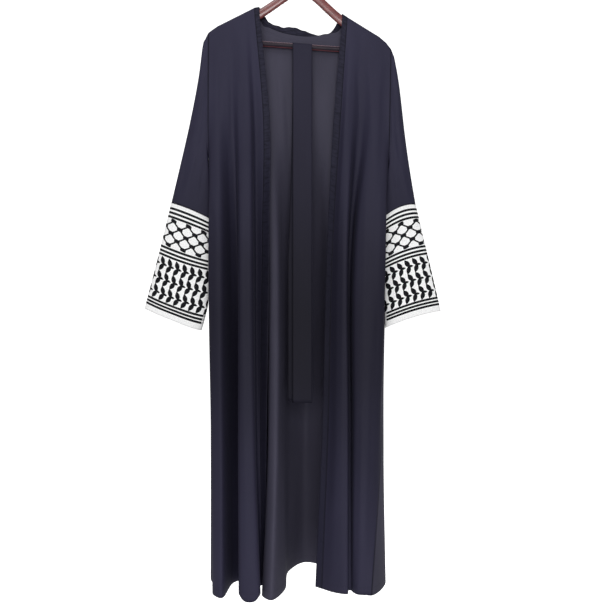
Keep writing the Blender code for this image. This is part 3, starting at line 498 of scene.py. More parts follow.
def armhole_spot(hand, side, row):
    """Plan position of the armhole's edge in a row above the underarm."""
    (top_x, top_z), (low_x, low_z) = ARMHOLE_LEFT if hand < 0 else ARMHOLE_RIGHT
    if row < ROLL_ROW:
        return Vector((top_x, side * HALF_ARM * on_roll(ROLL_DEPTHS, row)))
    share = (level_at(row) - ROW_LEVELS[0]) / (ROW_LEVELS[UNDERARM_ROW - ROLL_ROW] - ROW_LEVELS[0])
    depths = ARMHOLE_FRONT if side < 0 else ARMHOLE_BACK
    return Vector((top_x + (low_x - top_x) * share, side * smooth_at(ARMHOLE_ROWS, depths, row)))


def run_through(spots, steps, before=(), after=()):
    """Rounded run through the fold spots, with fine columns in each strip between them."""
    ghosts = [*before, *spots, *after]
    knots = [0.0]
    for a, b in zip(ghosts, ghosts[1:]):
        knots.append(knots[-1] + max((b - a).length, LEAST_GAP) ** GAP_POWER)
    first = len(before)
    run = []
    for i, count in enumerate(steps):
        low, high = knots[first + i], knots[first + i + 1]
        run += [smooth_at(knots, ghosts, low + (high - low) * n / count) for n in range(count)]
    run.append(ghosts[first + len(steps)].copy())
    return run


def row_height(row, x, top_z):
    """Height of a row at x, in a column that starts at top_z."""
    if row < ROLL_ROW:
        return top_z - on_roll(ROLL_DROPS, row)
    start = top_z - ROLL_DROPS[-1]
    if row < CHEST_ROW:
        chest = ROW_LEVELS[CHEST_ROW - ROLL_ROW] - CHEST_SLOPE * x
        return start + (chest - start) * (row - ROLL_ROW) / (CHEST_ROW - ROLL_ROW)
    return level_at(row) - between(ROW_SLOPES, row - CHEST_ROW) * x


def ease(share):
    """0 to 1 with a soft start and end."""
    share = max(0.0, min(1.0, share))
    return share * share * (3 - 2 * share)


def on_armhole_line(hand, z):
    (top_x, top_z), (low_x, low_z) = ARMHOLE_LEFT if hand < 0 else ARMHOLE_RIGHT
    return top_x + (low_x - top_x) * (top_z - z) / (top_z - low_z)


def panel_rows(folds, side, hands, beyond, top_at):
    """Rows of points of a panel of the front (side -1) or of the back (+1).

    It has a seam on each of the given hands, the last one after its folds and, on the back, the
    first one before them. beyond gives the other panels' folds that the cloth runs on to."""
    steps = [2 * FINE_COLUMNS] * (len(hands) - 1) + [fold[0] * FINE_COLUMNS for fold in folds]
    grid, tops = [], None
    for row in rows:
        above = row < UNDERARM_ROW
        seams = [armhole_spot(hand, side, row) if above else side_spot(hand, row) for hand in hands]
        spots = seams[:-1] + [fold_spot(fold, side, row) for fold in folds] + seams[-1:]
        past = [fold_spot(fold, -side, row) for fold in beyond]
        upper, lower = run_through(spots, steps), run_through(spots, steps, past[:-1], past[-1:])
        share = ease((row - UNDERARM_ROW + BLEND_ROWS) / BLEND_ROWS)
        line = [a.lerp(b, share) for a, b in zip(upper, lower)]
        tops = tops or [top_at(p.x) for p in line]
        points = []
        for p, (top_z, top_y) in zip(line, tops):
            depth = p.y
            if row < ROLL_ROW and top_y:
                depth = top_y + (max(HALF_ARM, top_y) - top_y) * on_roll(ROLL_DEPTHS, row)
            points.append(Vector((p.x, depth, row_height(row, p.x, top_z))))
        if above:
            for hand, place in zip(hands[::-1], (-1, 0)):
                points[place].x = on_armhole_line(hand, points[place].z)
        grid.append(points)
    return grid


def between_columns(table, x):
    """Second column of a table at x of its first, straight from line to line."""
    for low, high in zip(table, table[1:]):
        if x <= high[0]:
            return low[1] + (high[1] - low[1]) * (x - low[0]) / (high[0] - low[0])
    return table[-1][1]


def shoulder_top(x):
    """Height and depth of the top of a column that starts on the shoulder seam."""
    return between_columns(SHOULDER, x), 0.0


def back_top(x):
    """The same for a column of the back, which may start on the neck seam."""
    return table_at(NECK, x) if NECK[0][0] < x < NECK[-1][0] else shoulder_top(x)


# Columns over which creases fade out at a panel's sides, rows at its top that have none, and the
# rows below those over which they come in
FADE_COLUMNS, FLAT_ROWS, FADE_ROWS = 8, 12, 20
# How many half widths a crease reaches, and the power that rounds off its two ends
CREASE_REACH, CREASE_POWER = 3, 0.8
# Length of the cloth's faint unevenness across and down
SLACK_ACROSS, SLACK_DOWN = 38.0, 210.0


def crease_at(creases, x, z):
    """Depth of the soft creases at a spot. Each has x and z at both ends, half width and depth."""
    depth = 0.0
    for high_x, high_z, low_x, low_z, width, deep in creases:
        share = (high_z - z) / (high_z - low_z)
        if 0 < share < 1:
            off = (x - high_x - (low_x - high_x) * share) / width
            if abs(off) < CREASE_REACH:
                depth += deep * math.sin(math.pi * share) ** CREASE_POWER * math.exp(-off * off)
    return depth


def crease_panel(grid, side, creases, slack):
    """Works creases and a faint unevenness into a panel, fading out at its edges and its top."""
    last_column = len(grid[0]) - 1
    for v, line in enumerate(grid):
        for u, p in enumerate(line):
            margin = min(u, last_column - u) / FADE_COLUMNS
            fade = ease(margin) * ease((v - FLAT_ROWS) / FADE_ROWS)
            if fade > 0:
                uneven = noise.noise(Vector((p.x / SLACK_ACROSS, side * 9.0, p.z / SLACK_DOWN))) * slack
                p.y += side * fade * (crease_at(creases, p.x, p.z) + uneven)


def cloth_mesh(grid, seams, closed=False):
    """A fine grid with each crossing put where the cloth hangs, and its cut in metres as UV map.

    A painted shade value runs up to 1 along each edge that is named in seams."""
    cloth = bmesh.new()
    last_row, last_column = len(grid) - 1, len(grid[0]) - 1
    bmesh.ops.create_grid(cloth, x_segments=last_column, y_segments=last_row, size=0.5)
    across, down = [], [[0.0] * (last_column + 1)]
    for line in grid:
        reach = [0.0]
        for a, b in zip(line, line[1:]):
            reach.append(reach[-1] + (b - a).length * MM)
        across.append([length - reach[-1] / 2 for length in reach])
    for above, line in zip(grid, grid[1:]):
        down.append([fall + (b - a).length * MM for fall, a, b in zip(down[-1], above, line)])
    cut = cloth.loops.layers.uv.new("cut")
    seam_shade = cloth.verts.layers.float.new("seam_shade")
    spots = {}
    for vert in cloth.verts:
        spots[vert] = (round((0.5 - vert.co.y) * last_row), round((vert.co.x + 0.5) * last_column))
    for face in cloth.faces:
        for loop in face.loops:
            row, column = spots[loop.vert]
            loop[cut].uv = (across[row][column], down[row][column])
    for vert, (row, column) in spots.items():
        vert.co = grid[row][column] * MM
        gaps = {"left": across[row][column] - across[row][0], "right": across[row][-1] - across[row][column],
                "top": down[row][column], "foot": down[-1][column] - down[row][column]}
        vert[seam_shade] = max([0.0] + [1 - gaps[edge] / SEAM_SHADE_REACH for edge in seams])
    if closed:
        bmesh.ops.remove_doubles(cloth, verts=cloth.verts, dist=0.00001)
    bmesh.ops.reverse_faces(cloth, faces=cloth.faces)
    return cloth


def cloth_piece(name, grid, finish, wall, node, seams=(), closed=False):
    """A piece of cloth of the given wall, in millimetres, in the place of a node of the frame.

    seams names its edges along which shade is painted into the cloth."""
    piece = make_piece(name, cloth_mesh(grid, seams, closed), finish)
    body = piece.modifiers.new("wall", "SOLIDIFY")
    body.thickness = wall * MM
    body.offset = 0.0
    stand_in(piece, node)


# Heights of the shoulders and the hem in metres, and the painted light and shade from one down to
# the other, lightest at both ends and darkest mid-way: share of the way, and tone
CREPE_TOP, CREPE_FOOT = -0.15, -1.52
PAINTED_LIGHT_TONES = ((0, 1), (0.12, 0.98), (0.22, 0.86), (0.33, 0.76), (0.43, 0.56), (0.53, 0.48),
              (0.64, 0.53), (0.74, 0.70), (0.85, 0.90), (0.95, 1))


def cut_of(finish):
    """Place on the flat cut of the cloth, in metres."""
    return add_step(finish, "UVMap", {}, uv_map="cut").outputs["UV"]


def crepe_finish(name, dark, light, painted_light_strength, puckered=False):
    """Crepe: pebbled by its hard twisted yarns, matt, with painted light and shade that leave it lightest at
    shoulders and hem.

    Where it is puckered, close stitching draws it into small waves, with painted shade in their hollows that
    fades towards the hem."""
    finish = start_finish(name, {
        "Roughness": 0.66, "Specular IOR Level": 0.14, "Sheen Weight": 0.025, "Sheen Roughness": 0.45,
        "Sheen Tint": (0.55, 0.55, 0.85, 1.0)})
    level = add_step(finish, "SeparateXYZ", {"Vector": spot_on(finish)}).outputs["Z"]
    fall = add_step(finish, "MapRange", {"Value": level, "From Min": CREPE_TOP, "From Max": CREPE_FOOT})
    fall = fall.outputs["Result"]
    # Painted light and shade down the cloth: lightest at the shoulders and the hem, darkest mid-way.
    painted_fall_light = shades(finish, fall, [(share, (1 - painted_light_strength + painted_light_strength * tone,) * 3) for share, tone in PAINTED_LIGHT_TONES])
    cut = cut_of(finish)
    dye = speckle(finish, cut, 1.0, 3.0, (9.0, 2.4, 1.0))
    pebble = speckle(finish, cut, 1100.0, 2.0, Roughness=0.6)
    yarn = speckle(finish, cut, 1.0, 1.0, (2600.0, 520.0, 1.0))
    colour = shades(finish, reckon(finish, "MULTIPLY_ADD", pebble, 0.35, dye), ((0.42, dark), (0.92, light)))
    # Painted shade along the seams, darkest right at each seam.
    seam_shade = add_step(finish, "Attribute", {}, attribute_name="seam_shade").outputs["Fac"]
    layers = [painted_fall_light, shades(finish, seam_shade, ((0.0, (1.0, 1.0, 1.0)), (0.9, (0.30, 0.29, 0.33))))]
    height = reckon(finish, "ADD", pebble, yarn)
    if puckered:
        # Painted shade in the hollows of the puckers, fading out towards the hem.
        pucker = speckle(finish, cut, 1.0, 2.0, (55.0, 210.0, 1.0), Distortion=0.6)
        pucker_shade = reckon(finish, "MULTIPLY_ADD", fall, 0.28, pucker)
        layers.append(shades(finish, pucker_shade, ((0.42, (0.50, 0.50, 0.54)), (0.62, (1.0, 1.0, 1.0)))))
        height = reckon(finish, "MULTIPLY_ADD", pucker, 2.5, height)
    for layer in layers:
        colour = reckon(finish, "MULTIPLY", colour, layer, kind="VectorMath")
    feed(finish, "Base Color", colour)
    emboss(finish, height, 0.35, 0.00025)
    return finish


# The back's crepe is coloured lighter than the fronts': painted light, as if shining through its sheer single
# layer from behind.
backlit_crepe = crepe_finish("backlit_back_crepe", (0.035, 0.033, 0.051), (0.053, 0.050, 0.076), 0.22)
# Soft pleat lines and slack: x and z at the top, x and z at the foot, half width, and depth
BACK_CREASES = (
    (14, -188, 22, -360, 4, -2.6), (30, -190, 37, -330, 4, 2),
    (-66, -235, -52, -470, 7, -1.8), (-44, -260, -40, -520, 6, 1.3),
    (60, -230, 84, -455, 7, -1.5), (-95, -260, -104, -600, 8, 1.6),
    (48, -520, 58, -905, 9, -2), (-16, -560, -22, -1010, 9, 1.6),
    (20, -700, 16, -1240, 10, -2), (-62, -830, -66, -1330, 7, 1.8),
    (86, -640, 88, -1180, 10, -2.2), (120, -560, 126, -960, 9, 1.8),
    (150, -470, 158, -900, 10, -2), (152, -980, 150, -1420, 9, 1.6),
    (-190, -330, -196, -640, 9, -2), (-156, -420, -160, -860, 9, 1.8),
    (-128, -520, -124, -990, 8, -1.8), (-196, -760, -200, -1250, 9, 2),
    (-166, -930, -164, -1440, 9, -1.8), (0, -1080, -8, -1500, 10, 2),
    (54, -1000, 52, -1480, 10, -2), (-112, -1040, -114, -1490, 8, 1.6),
)
back_grid = panel_rows(BACK_FOLDS, 1, (-1, 1), (LEFT_FOLDS[-1], RIGHT_FOLDS[-1]), back_top)
crease_panel(back_grid, 1, BACK_CREASES, 1.4)
cloth_piece("back_cloth", back_grid, backlit_crepe, PANEL_WALL, "back_panel",
            seams=("left", "right"))


# The two fronts: the same crepe as the back, sewn to it down the sides and over the shoulders.
# Each falls in lobes with narrow dark valleys between them, deeper from the chest down.
front_crepe = crepe_finish("front_crepe", (0.020, 0.0185, 0.037), (0.030, 0.028, 0.054), 1.0)
LEFT_CREASES = (
    (-150, -200, -160, -470, 6, 1.2), (-196, -215, -205, -470, 7, -1.4),
    (-172, -250, -178, -520, 6, -1.2), (-139, -560, -136, -1010, 5, -1.2),
    (-206, -560, -208, -940, 6, 1.6), (-144, -900, -134, -1440, 6, 1.4),
    (-190, -760, -188, -1240, 6, -1.6), (-124, -880, -118, -1330, 5, 1.2),
    (-204, -1010, -200, -1470, 6, -1.6), (-222, -560, -196, -700, 7, 1.4),
)
RIGHT_CREASES = (
    (118, -215, 132, -470, 6, -1.3), (150, -240, 160, -500, 7, 1.4),
    (182, -290, 176, -560, 7, -1.4), (176, -560, 166, -900, 6, 1.8),
    (142, -520, 133, -980, 6, 1.4), (158, -900, 146, -1400, 6, -1.6),
    (88, -560, 84, -1080, 5, 1.2), (92, -900, 90, -1400, 5, -1.2),
    (134, -1000, 124, -1460, 5, 1.4), (170, -700, 160, -1180, 5, -1.4),
)
BAND_COLUMNS = 2 * FINE_COLUMNS
# The foot of the left front's foremost lobe curls up at both sides
CURL_ROWS, CURL_RISE = 20, 12.0
CURL_MIDDLE, CURL_HALF, CURL_REACH = -127.0, 22.0, 1.4
CURL_START, CURL_DEPTH = -20.0, 50.0
left_grid = panel_rows(LEFT_FOLDS, -1, (-1,), BACK_FOLDS[:1], shoulder_top)
right_grid = panel_rows(RIGHT_FOLDS, -1, (1,), BACK_FOLDS[-1:], shoulder_top)
for v, line in enumerate(left_grid[-CURL_ROWS:]):
    for p in line:
        off = abs(p.x - CURL_MIDDLE) / CURL_HALF
        if off < CURL_REACH:
            rise = CURL_RISE * ((v + 1) / CURL_ROWS) ** 2 * min(1.0, off) ** 3
            p.z += rise * ease((CURL_START - p.y) / CURL_DEPTH)
crease_panel(left_grid, -1, LEFT_CREASES, 1.2)
crease_panel(right_grid, -1, RIGHT_CREASES, 1.2)
for name, grid, node, cut, area in (
        ("left_front_cloth", left_grid, "front_left", (0.509, 1.385), 0.4331),
        ("right_front_cloth", right_grid, "front_right", (0.284, 1.363), 0.2765)):
    cloth_piece(name, [line[BAND_COLUMNS:] for line in grid], front_crepe, PANEL_WALL, node,
                seams=("right",))


# The front bands: a folded strip of the crepe sewn down each free edge from shoulder to hem,
# doubled and so a little thicker, painted darker than the fronts as shade, and stitched along its inner edge.
BAND_WALL = 1.7
# The bands' crepe is coloured darker than the fronts': a painted shade.
band_crepe = crepe_finish("band_crepe", (0.014, 0.013, 0.027), (0.023, 0.022, 0.042), 1.0,
                          puckered=True)
for name, grid, node, cut, area, front in (
        ("left_band_cloth", left_grid, "front_band_left", (0.024, 1.387), 0.0258, "left_front_cloth"),
        ("right_band_cloth", right_grid, "front_band_right", (0.020, 1.371), 0.0228, "right_front_cloth")):
    cloth_piece(name, [line[:BAND_COLUMNS + 1] for line in grid], band_crepe, BAND_WALL, node,
                seams=("right",))


# The neck band: a doubled strip that stands up round the back of the neck from one shoulder
# seam to the other, a little rippled along its free edge where the stitching draws it in.
NECK_EDGE = ((-120.6, -109.3, -138.4, 0.2), (-116.7, -105.8, -138.2, 5.5), (-112.8, -103, -142, 10),
             (-108.9, -100, -149.5, 11.4), (-105, -96.5, -155, 12), (-84.5, -84, -168, 13.5),
             (-60.5, -62, -176.5, 16), (-36.6, -37, -179, 13), (-12.7, -14, -183, 12.6),
             (11.3, 10, -191, 19), (35.2, 34, -194, 25), (59.1, 60, -189, 23),
             (82.5, 76, -169, 13.5), (90.5, 81.5, -160.5, 11.2), (95, 85, -155, 9.8),
             (97.8, 86.8, -152.8, 6.5), (99.2, 87.6, -152.4, 0.2))
NECK_ROWS = 10
NECK_BULGE = 2.6
NECK_END = 12.0
# Ripples along the free edge: height, length and start
NECK_RIPPLES = ((0.9, 6.1, 0.0), (0.6, 3.4, 1.0))
neck_seam = [p for p in back_grid[0] if NECK[0][0] - LEAST_GAP <= p.x <= NECK[-1][0] + LEAST_GAP]
neck_grid = []
for n in range(NECK_ROWS, -1, -1):
    rise = n / NECK_ROWS
    line = []
    for p in neck_seam:
        edge = table_at(NECK_EDGE, p.x)
        spot = p.lerp(Vector((edge[0], max(edge[2], SEAM_DRAW), edge[1])), rise)
        end_fade = ease(min(p.x - NECK[0][0], NECK[-1][0] - p.x) / NECK_END)
        ripple = sum(high * math.sin(p.x / long + begin) for high, long, begin in NECK_RIPPLES)
        spot.y += end_fade * NECK_BULGE * math.sin(math.pi * rise)
        spot.z += end_fade * rise * ripple
        line.append(spot)
    neck_grid.append(line)
cloth_piece("neck_band_cloth", neck_grid, band_crepe, BAND_WALL, "neck_band",
            seams=("foot",))


# The sleeves: wide straight tubes of crepe set into long armholes, hanging almost flat with
# a few slanting creases from the underarm.
# How far the sleeve's first row is lifted off the armhole, by level up from the underarm
SLEEVE_LIFT = ((-508.6, 3.5), (-490.0, 1.56), (-458.0, 0.39), (-428.0, 0.0))
# Sections down each sleeve: x and z of its outer and inner fold, and its depth in front and behind
LEFT_SLEEVE = ((-237.2, -212, -231.6, -499.5, 17, 15), (-243.5, -228.3, -231, -507, 17, 15.5),
               (-254.2, -309.3, -228.4, -524, 17, 16.5), (-274.4, -414, -224, -556, 16, 18),
               (-297.1, -513.9, -221.5, -592, 15, 19), (-318.2, -602.7, -224, -641.5, 13, 21))
RIGHT_SLEEVE = ((208.4, -249, 199.2, -521.5, 17, 15), (212.3, -261.7, 198.2, -528, 17, 15.5),
                (223, -323.5, 194.6, -542, 17, 16.5), (237.3, -447.3, 188.6, -567, 16, 18),
                (249.2, -530.6, 185.6, -602, 15, 19), (262, -606.8, 185.5, -637, 13, 21))
# How far each section has gone over from the armhole's outline to an even flattened ring
SLEEVE_MIX = (0.0, 0.35, 0.7, 1.0, 1.0, 1.0)
SLEEVE_STEPS = (3, 5, 14, 16, 16, 14)
RING_POWER = 0.8
# Rows over which a sleeve's creases fade out at its top and foot, and the depth at its two folds
TOP_FADE, FOOT_FADE, FOLD_FADE = 10, 6, 12
TUBE_ACROSS, TUBE_DOWN = 30.0, 90.0
# Rows over which the arch of the cuff seam comes in, and the rise of the left and right cuff's
# middle at its seam, half way down and at its hem
ARCH_ROWS = 26
LEFT_ARCH, RIGHT_ARCH = (2.5, -4.0, -5.0), (8.5, 5.0, 5.0)
sleeve_rows = [row for row in rows if row <= UNDERARM_ROW]


def section_ring(section, places, shape):
    """A flattened ring of a sleeve: places across it from the outer end, and shares of its depth."""
    outer, inner = Vector((section[0], 0.0, section[1])), Vector((section[2], 0.0, section[3]))
    half = len(places) - 1
    ring = []
    for j in range(2 * half):
        k = j if j <= half else 2 * half - j
        depth = 0.0 if k in (0, half) else (-section[4] if j <= half else section[5])
        ring.append(outer.lerp(inner, places[k]) + Vector((0.0, depth * shape[k], 0.0)))
    return ring


def tube_rows(rings, steps):
    """Fine rows through a run of rings, each closed on its first point."""
    knots = list(range(len(rings)))
    grid = []
    for n, count in enumerate(steps):
        for part in range(count):
            grid.append([smooth_at(knots, [ring[j] for ring in rings], n + part / count)
                         for j in range(len(rings[0]))])
    grid.append([p.copy() for p in rings[-1]])
    return [line + [line[0].copy()] for line in grid]


def sleeve_grid(sections, front, back, back_column, hand, arch):
    """Rows of a sleeve from its armhole to the cuff seam, which arches up a little across."""
    count = len(sleeve_rows)
    first = [front[v][-1].copy() for v in range(count)]
    first += [back[v][back_column].copy() for v in range(count - 2, 0, -1)]
    half = count - 1
    for j, p in enumerate(first):
        k = j if j <= half else 2 * half - j
        p.z += between_columns(SLEEVE_LIFT, level_at(max(sleeve_rows[k], ROLL_ROW)))
        p.x += hand * 2 * SEAM_DRAW
        if k in (0, half):
            p.y = 0.0
    top, low = first[0].z, first[half].z
    arm_places = [(top - first[k].z) / (top - low) for k in range(half + 1)]
    widest = max(abs(p.y) for p in first[:half])
    arm_shape = [abs(first[k].y) / widest for k in range(half + 1)]
    turns = [math.pi * row / UNDERARM_ROW for row in sleeve_rows]
    rings = [first]
    for section, share in zip(sections, SLEEVE_MIX):
        places = [a + ((1 - math.cos(turn)) / 2 - a) * share for a, turn in zip(arm_places, turns)]
        shape = [a + (max(math.sin(turn), 0.0) ** RING_POWER - a) * share
                 for a, turn in zip(arm_shape, turns)]
        rings.append(section_ring(section, places, shape))
    grid = tube_rows(rings, SLEEVE_STEPS)
    for v, line in enumerate(grid):
        share = ease((v - len(grid) + ARCH_ROWS) / ARCH_ROWS)
        for j, p in enumerate(line):
            p.z += arch * share * math.sin(turns[j if j <= half else 2 * half - j]) ** 2
    return grid


def crease_tube(grid, creases, slack):
    """Works creases into both sides of a tube, fading out at its ends and its two folds."""
    last_row = len(grid) - 1
    for v, line in enumerate(grid):
        fade = ease(v / TOP_FADE) * ease((last_row - v) / FOOT_FADE)
        for p in line:
            side = 1.0 if p.y > 0 else -1.0
            flat = ease(abs(p.y) / FOLD_FADE)
            uneven = noise.noise(Vector((p.x / TUBE_ACROSS, side * 5.0, p.z / TUBE_DOWN))) * slack
            p.y += side * fade * flat * (crease_at(creases, p.x, p.z) + uneven)


LEFT_SLEEVE_CREASES = (
    (-236, -300, -262, -560, 6, -1.8), (-246, -260, -252, -470, 5, 1.3),
    (-240, -430, -292, -600, 7, 1.8), (-262, -390, -298, -590, 5, -1.4),
    (-236, -500, -258, -620, 6, -1.8), (-250, -540, -252, -625, 5, 1.2),
)
RIGHT_SLEEVE_CREASES = (
    (208, -320, 226, -570, 6, -1.8), (216, -290, 222, -470, 5, 1.3),
    (206, -450, 246, -600, 7, 1.8), (232, -430, 250, -590, 5, -1.4),
    (203, -520, 218, -620, 6, -1.8), (214, -540, 212, -622, 5, 1.2),
)
left_sleeve_grid = sleeve_grid(LEFT_SLEEVE, left_grid, back_grid, 0, -1, LEFT_ARCH[0])
right_sleeve_grid = sleeve_grid(RIGHT_SLEEVE, right_grid, back_grid, -1, 1, RIGHT_ARCH[0])
crease_tube(left_sleeve_grid, LEFT_SLEEVE_CREASES, 1.0)
crease_tube(right_sleeve_grid, RIGHT_SLEEVE_CREASES, 1.0)
for name, grid, node, cut, area, front in (
        ("left_sleeve_cloth", left_sleeve_grid, "sleeve_left", (0.23, 0.45), 0.0496, "left_front_cloth"),
        ("right_sleeve_cloth", right_sleeve_grid, "sleeve_right", (0.21, 0.42), 0.0376, "right_front_cloth")):
    cloth_piece(name, grid, front_crepe, PANEL_WALL, node,
                seams=("top", "foot"), closed=True)


# The cuffs: a firm white cotton sewn to the sleeves' ends, straight along the outer fold and
# flared under the arm, with a plain hem below the pattern.
CUFF_WALL = 1.4
CUFF_HALF = 48
CUFF_ROWS = 54
# How far the inner corner of the left and right hem is drawn outwards, and the shares of the way
# down and across at which the draw begins
LEFT_DRAW, RIGHT_DRAW = 15.0, 0.0
DRAW_DOWN, DRAW_ACROSS, DRAW_POWER = 0.7, 0.4, 1.6
LEFT_CUFF = ((-318.2, -602.7, -224, -641.5, 13, 21), (-349.4, -730.5, -228.5, -771, 14, 24),
             (-381.5, -853, -233, -905, 15, 27))
RIGHT_CUFF = ((262, -606.8, 185.5, -637, 13, 21), (292, -732.9, 187.5, -768, 14, 24),
              (321.5, -859, 190.5, -899, 15, 27))


def cuff_grid(sections, hand, arch, draw):
    """Rows of a cuff from the sleeve seam to its hem, where the inner corner is cut away."""
    turns = [math.pi * k / CUFF_HALF for k in range(CUFF_HALF + 1)]
    places = [(1 - math.cos(turn)) / 2 for turn in turns]
    shape = [max(math.sin(turn), 0.0) ** RING_POWER for turn in turns]
    grid = tube_rows([section_ring(section, places, shape) for section in sections], (CUFF_ROWS // 2,) * 2)
    for v, line in enumerate(grid):
        low = max(0.0, (v / CUFF_ROWS - DRAW_DOWN) / (1 - DRAW_DOWN)) ** DRAW_POWER
        rise = smooth_at((0, 1, 2), arch, 2 * v / CUFF_ROWS)
        for j, p in enumerate(line):
            k = j if j <= CUFF_HALF else 2 * CUFF_HALF - j
            p.x += hand * draw * low * ease((places[k] - DRAW_ACROSS) / (1 - DRAW_ACROSS))
            p.z += rise * math.sin(turns[k]) ** 2
    return grid


cotton = start_finish("white_cuff_cotton", {
    "Roughness": 0.78, "Specular IOR Level": 0.25, "Sheen Weight": 0.15, "Sheen Roughness": 0.5})
cut = cut_of(cotton)
warp, weft = [add_step(cotton, "TexWave", {"Vector": cut, "Scale": 190.0, "Distortion": 1.2, "Detail": 2.0},
                       bands_direction=way).outputs["Fac"] for way in "XY"]
slub = speckle(cotton, cut, 420.0, 3.0)
feed(cotton, "Base Color", shades(cotton, slub, (
    (0.36, (0.70, 0.70, 0.71)), (0.52, (0.86, 0.86, 0.86)), (0.7, (0.90, 0.90, 0.89)))))
weave = reckon(cotton, "ADD", warp, weft)
emboss(cotton, reckon(cotton, "MULTIPLY_ADD", weave, 0.4, slub), 0.4, 0.0003)

left_cuff_grid = cuff_grid(LEFT_CUFF, -1, LEFT_ARCH, LEFT_DRAW)
right_cuff_grid = cuff_grid(RIGHT_CUFF, 1, RIGHT_ARCH, RIGHT_DRAW)
for name, grid, node, cut, area, sleeve in (
        ("left_cuff_cloth", left_cuff_grid, "cuff_left", (0.319, 0.268), 0.0738, "left_sleeve_cloth"),
        ("right_cuff_cloth", right_cuff_grid, "cuff_right", (0.308, 0.263), 0.0642, "right_sleeve_cloth")):
    cloth_piece(name, grid, cotton, CUFF_WALL, node, closed=True)


# The cuffs' pattern: black thread worked through the white cotton in the old keffiyeh motifs.
# From the sleeve down come three lines, a fishnet, three lines, columns of olive leaves and
# three more lines. Each motif is laid out flat and then put on the cuff, proud of its face.
LINE_PLACES = (11.5, 21.0, 30.4, 101.0, 110.2, 118.6, 226.4, 234.4, 241.9)
LINE_WIDTH = 5.2
# The fishnet: its top row of knots, its rows, the knots' size and slant, and its strands
NET_TOP, NET_STEP, NET_PITCH, NET_ROWS = 38.0, 13.7, 38.0, 5
KNOT = (14.5, 8.6)
KNOT_TILT, KNOT_TAPER = 0.16, 0.3
STRAND_WIDTH, STRAND_BOW = 3.7, 0.9
# The olive columns, and the leaves of one repeat: start, end, width, and the mesh across and down
VINE_TOP, VINE_STEP, VINE_PITCH, VINE_REPEATS = 123.0, 33.6, 18.7, 3
VINE_ROOM = 8.0
LEAVES = (((-4.8, -1), (4.4, 19), 10.8, 6, 8), ((4.8, 13.6), (-4.8, 33.8), 10.2, 6, 8),
          ((0.5, 15.6), (13, 17.2), 5.4, 3, 4))
LEAF_TIP = 0.5
# Columns and lines in the mesh of a line, a knot and a strand
LINE_MESH, KNOT_MESH, STRAND_MESH = (220, 4), (5, 4), (3, 8)
# How proud the thread stands, up to what share of the way to its edge, and how proud it is there
THREAD_RISE, THREAD_CROWN, THREAD_SIDE = 0.34, 0.9, 0.02
thread = start_finish("black_thread", {"Roughness": 0.7, "Specular IOR Level": 0.1})
cut = cut_of(thread)
fuzz = speckle(thread, cut, 900.0, 2.0)
feed(thread, "Base Color", shades(thread, fuzz, (
    (0.35, (0.003, 0.003, 0.004)), (0.7, (0.009, 0.009, 0.012)))))
twist = add_step(thread, "TexWave", {"Vector": cut, "Scale": 260.0, "Distortion": 0.8, "Detail": 1.0},
                 bands_direction="Y")
emboss(thread, twist.outputs["Fac"], 0.4, 0.0003)


class CuffFace:
    """The outer face of a cuff, read by distance round it and distance down from its seam."""

    def __init__(self, grid, hand):
        self.grid = [line[:-1] for line in grid]
        self.hand = hand
        self.reach = []
        for line in self.grid:
            lengths = [0.0]
            for a, b in zip(line, line[1:] + line[:1]):
                lengths.append(lengths[-1] + (b - a).length)
            self.reach.append(lengths)
        outer = [line[0] for line in self.grid]
        self.fall = [0.0]
        for a, b in zip(outer, outer[1:]):
            self.fall.append(self.fall[-1] + (b - a).length)

    def ring_spot(self, row, round_cuff):
        lengths, line = self.reach[row], self.grid[row]
        way = round_cuff % lengths[-1]
        k = bisect(lengths, way) - 1
        share = (way - lengths[k]) / (lengths[k + 1] - lengths[k])
        return line[k].lerp(line[(k + 1) % len(line)], share)

    def spot(self, right, down):
        """Point at a distance to the picture's right of the outer fold, and down from the seam."""
        round_cuff = right if self.hand < 0 else -right
        t = down / self.fall[-1] * (len(self.grid) - 1)
        low = max(0, min(len(self.grid) - 2, int(t)))
        return self.ring_spot(low, round_cuff).lerp(self.ring_spot(low + 1, round_cuff), t - low)

    def girth(self, down):
        t = down / self.fall[-1] * (len(self.grid) - 1)
        return between([lengths[-1] for lengths in self.reach], t)

    def lifted(self, right, down, rise):
        here = self.spot(right, down)
        along = self.spot(right + 0.5, down) - self.spot(right - 0.5, down)
        fall = self.spot(right, down + 0.5) - self.spot(right, down - 0.5)
        return here + fall.cross(along).normalized() * (CUFF_WALL / 2 + rise)


def add_motif(mesh, face, columns, lines, shape):
    """One motif: a small grid shaped flat by its maker's rule, then put on the cuff, domed."""
    made = bmesh.ops.create_grid(mesh, x_segments=columns, y_segments=lines, size=0.5)["verts"]
    cut = mesh.loops.layers.uv.verify()
    flat = {}
    for vert in made:
        right, down = shape(vert.co.x, vert.co.y)
        edge = max(abs(vert.co.x), abs(vert.co.y)) * 2
        flat[vert] = (right, down, THREAD_RISE if edge < THREAD_CROWN else THREAD_SIDE)
    for piece in {piece for vert in made for piece in vert.link_faces}:
        for loop in piece.loops:
            loop[cut].uv = (loop.vert.co.x * 0.01, loop.vert.co.y * 0.02)
    for vert, (right, down, rise) in flat.items():
        vert.co = face.lifted(right, down, rise) * MM
    return made


def drawn_from(start, end, off_at):
    """Shape of a motif from start to end, where off_at says how far aside each point lies."""
    (x0, y0), (x1, y1) = start, end
    length = math.hypot(x1 - x0, y1 - y0)
    ux, uy = (x1 - x0) / length, (y1 - y0) / length

    def shape(a, b):
        share = b + 0.5
        off = off_at(a, math.sin(math.pi * share))
        return x0 + ux * length * share - uy * off, y0 + uy * length * share + ux * off
    return shape


def leaf(start, end, width):
    return drawn_from(start, end, lambda a, swell: a * (width * max(0.0, swell) + LEAF_TIP))


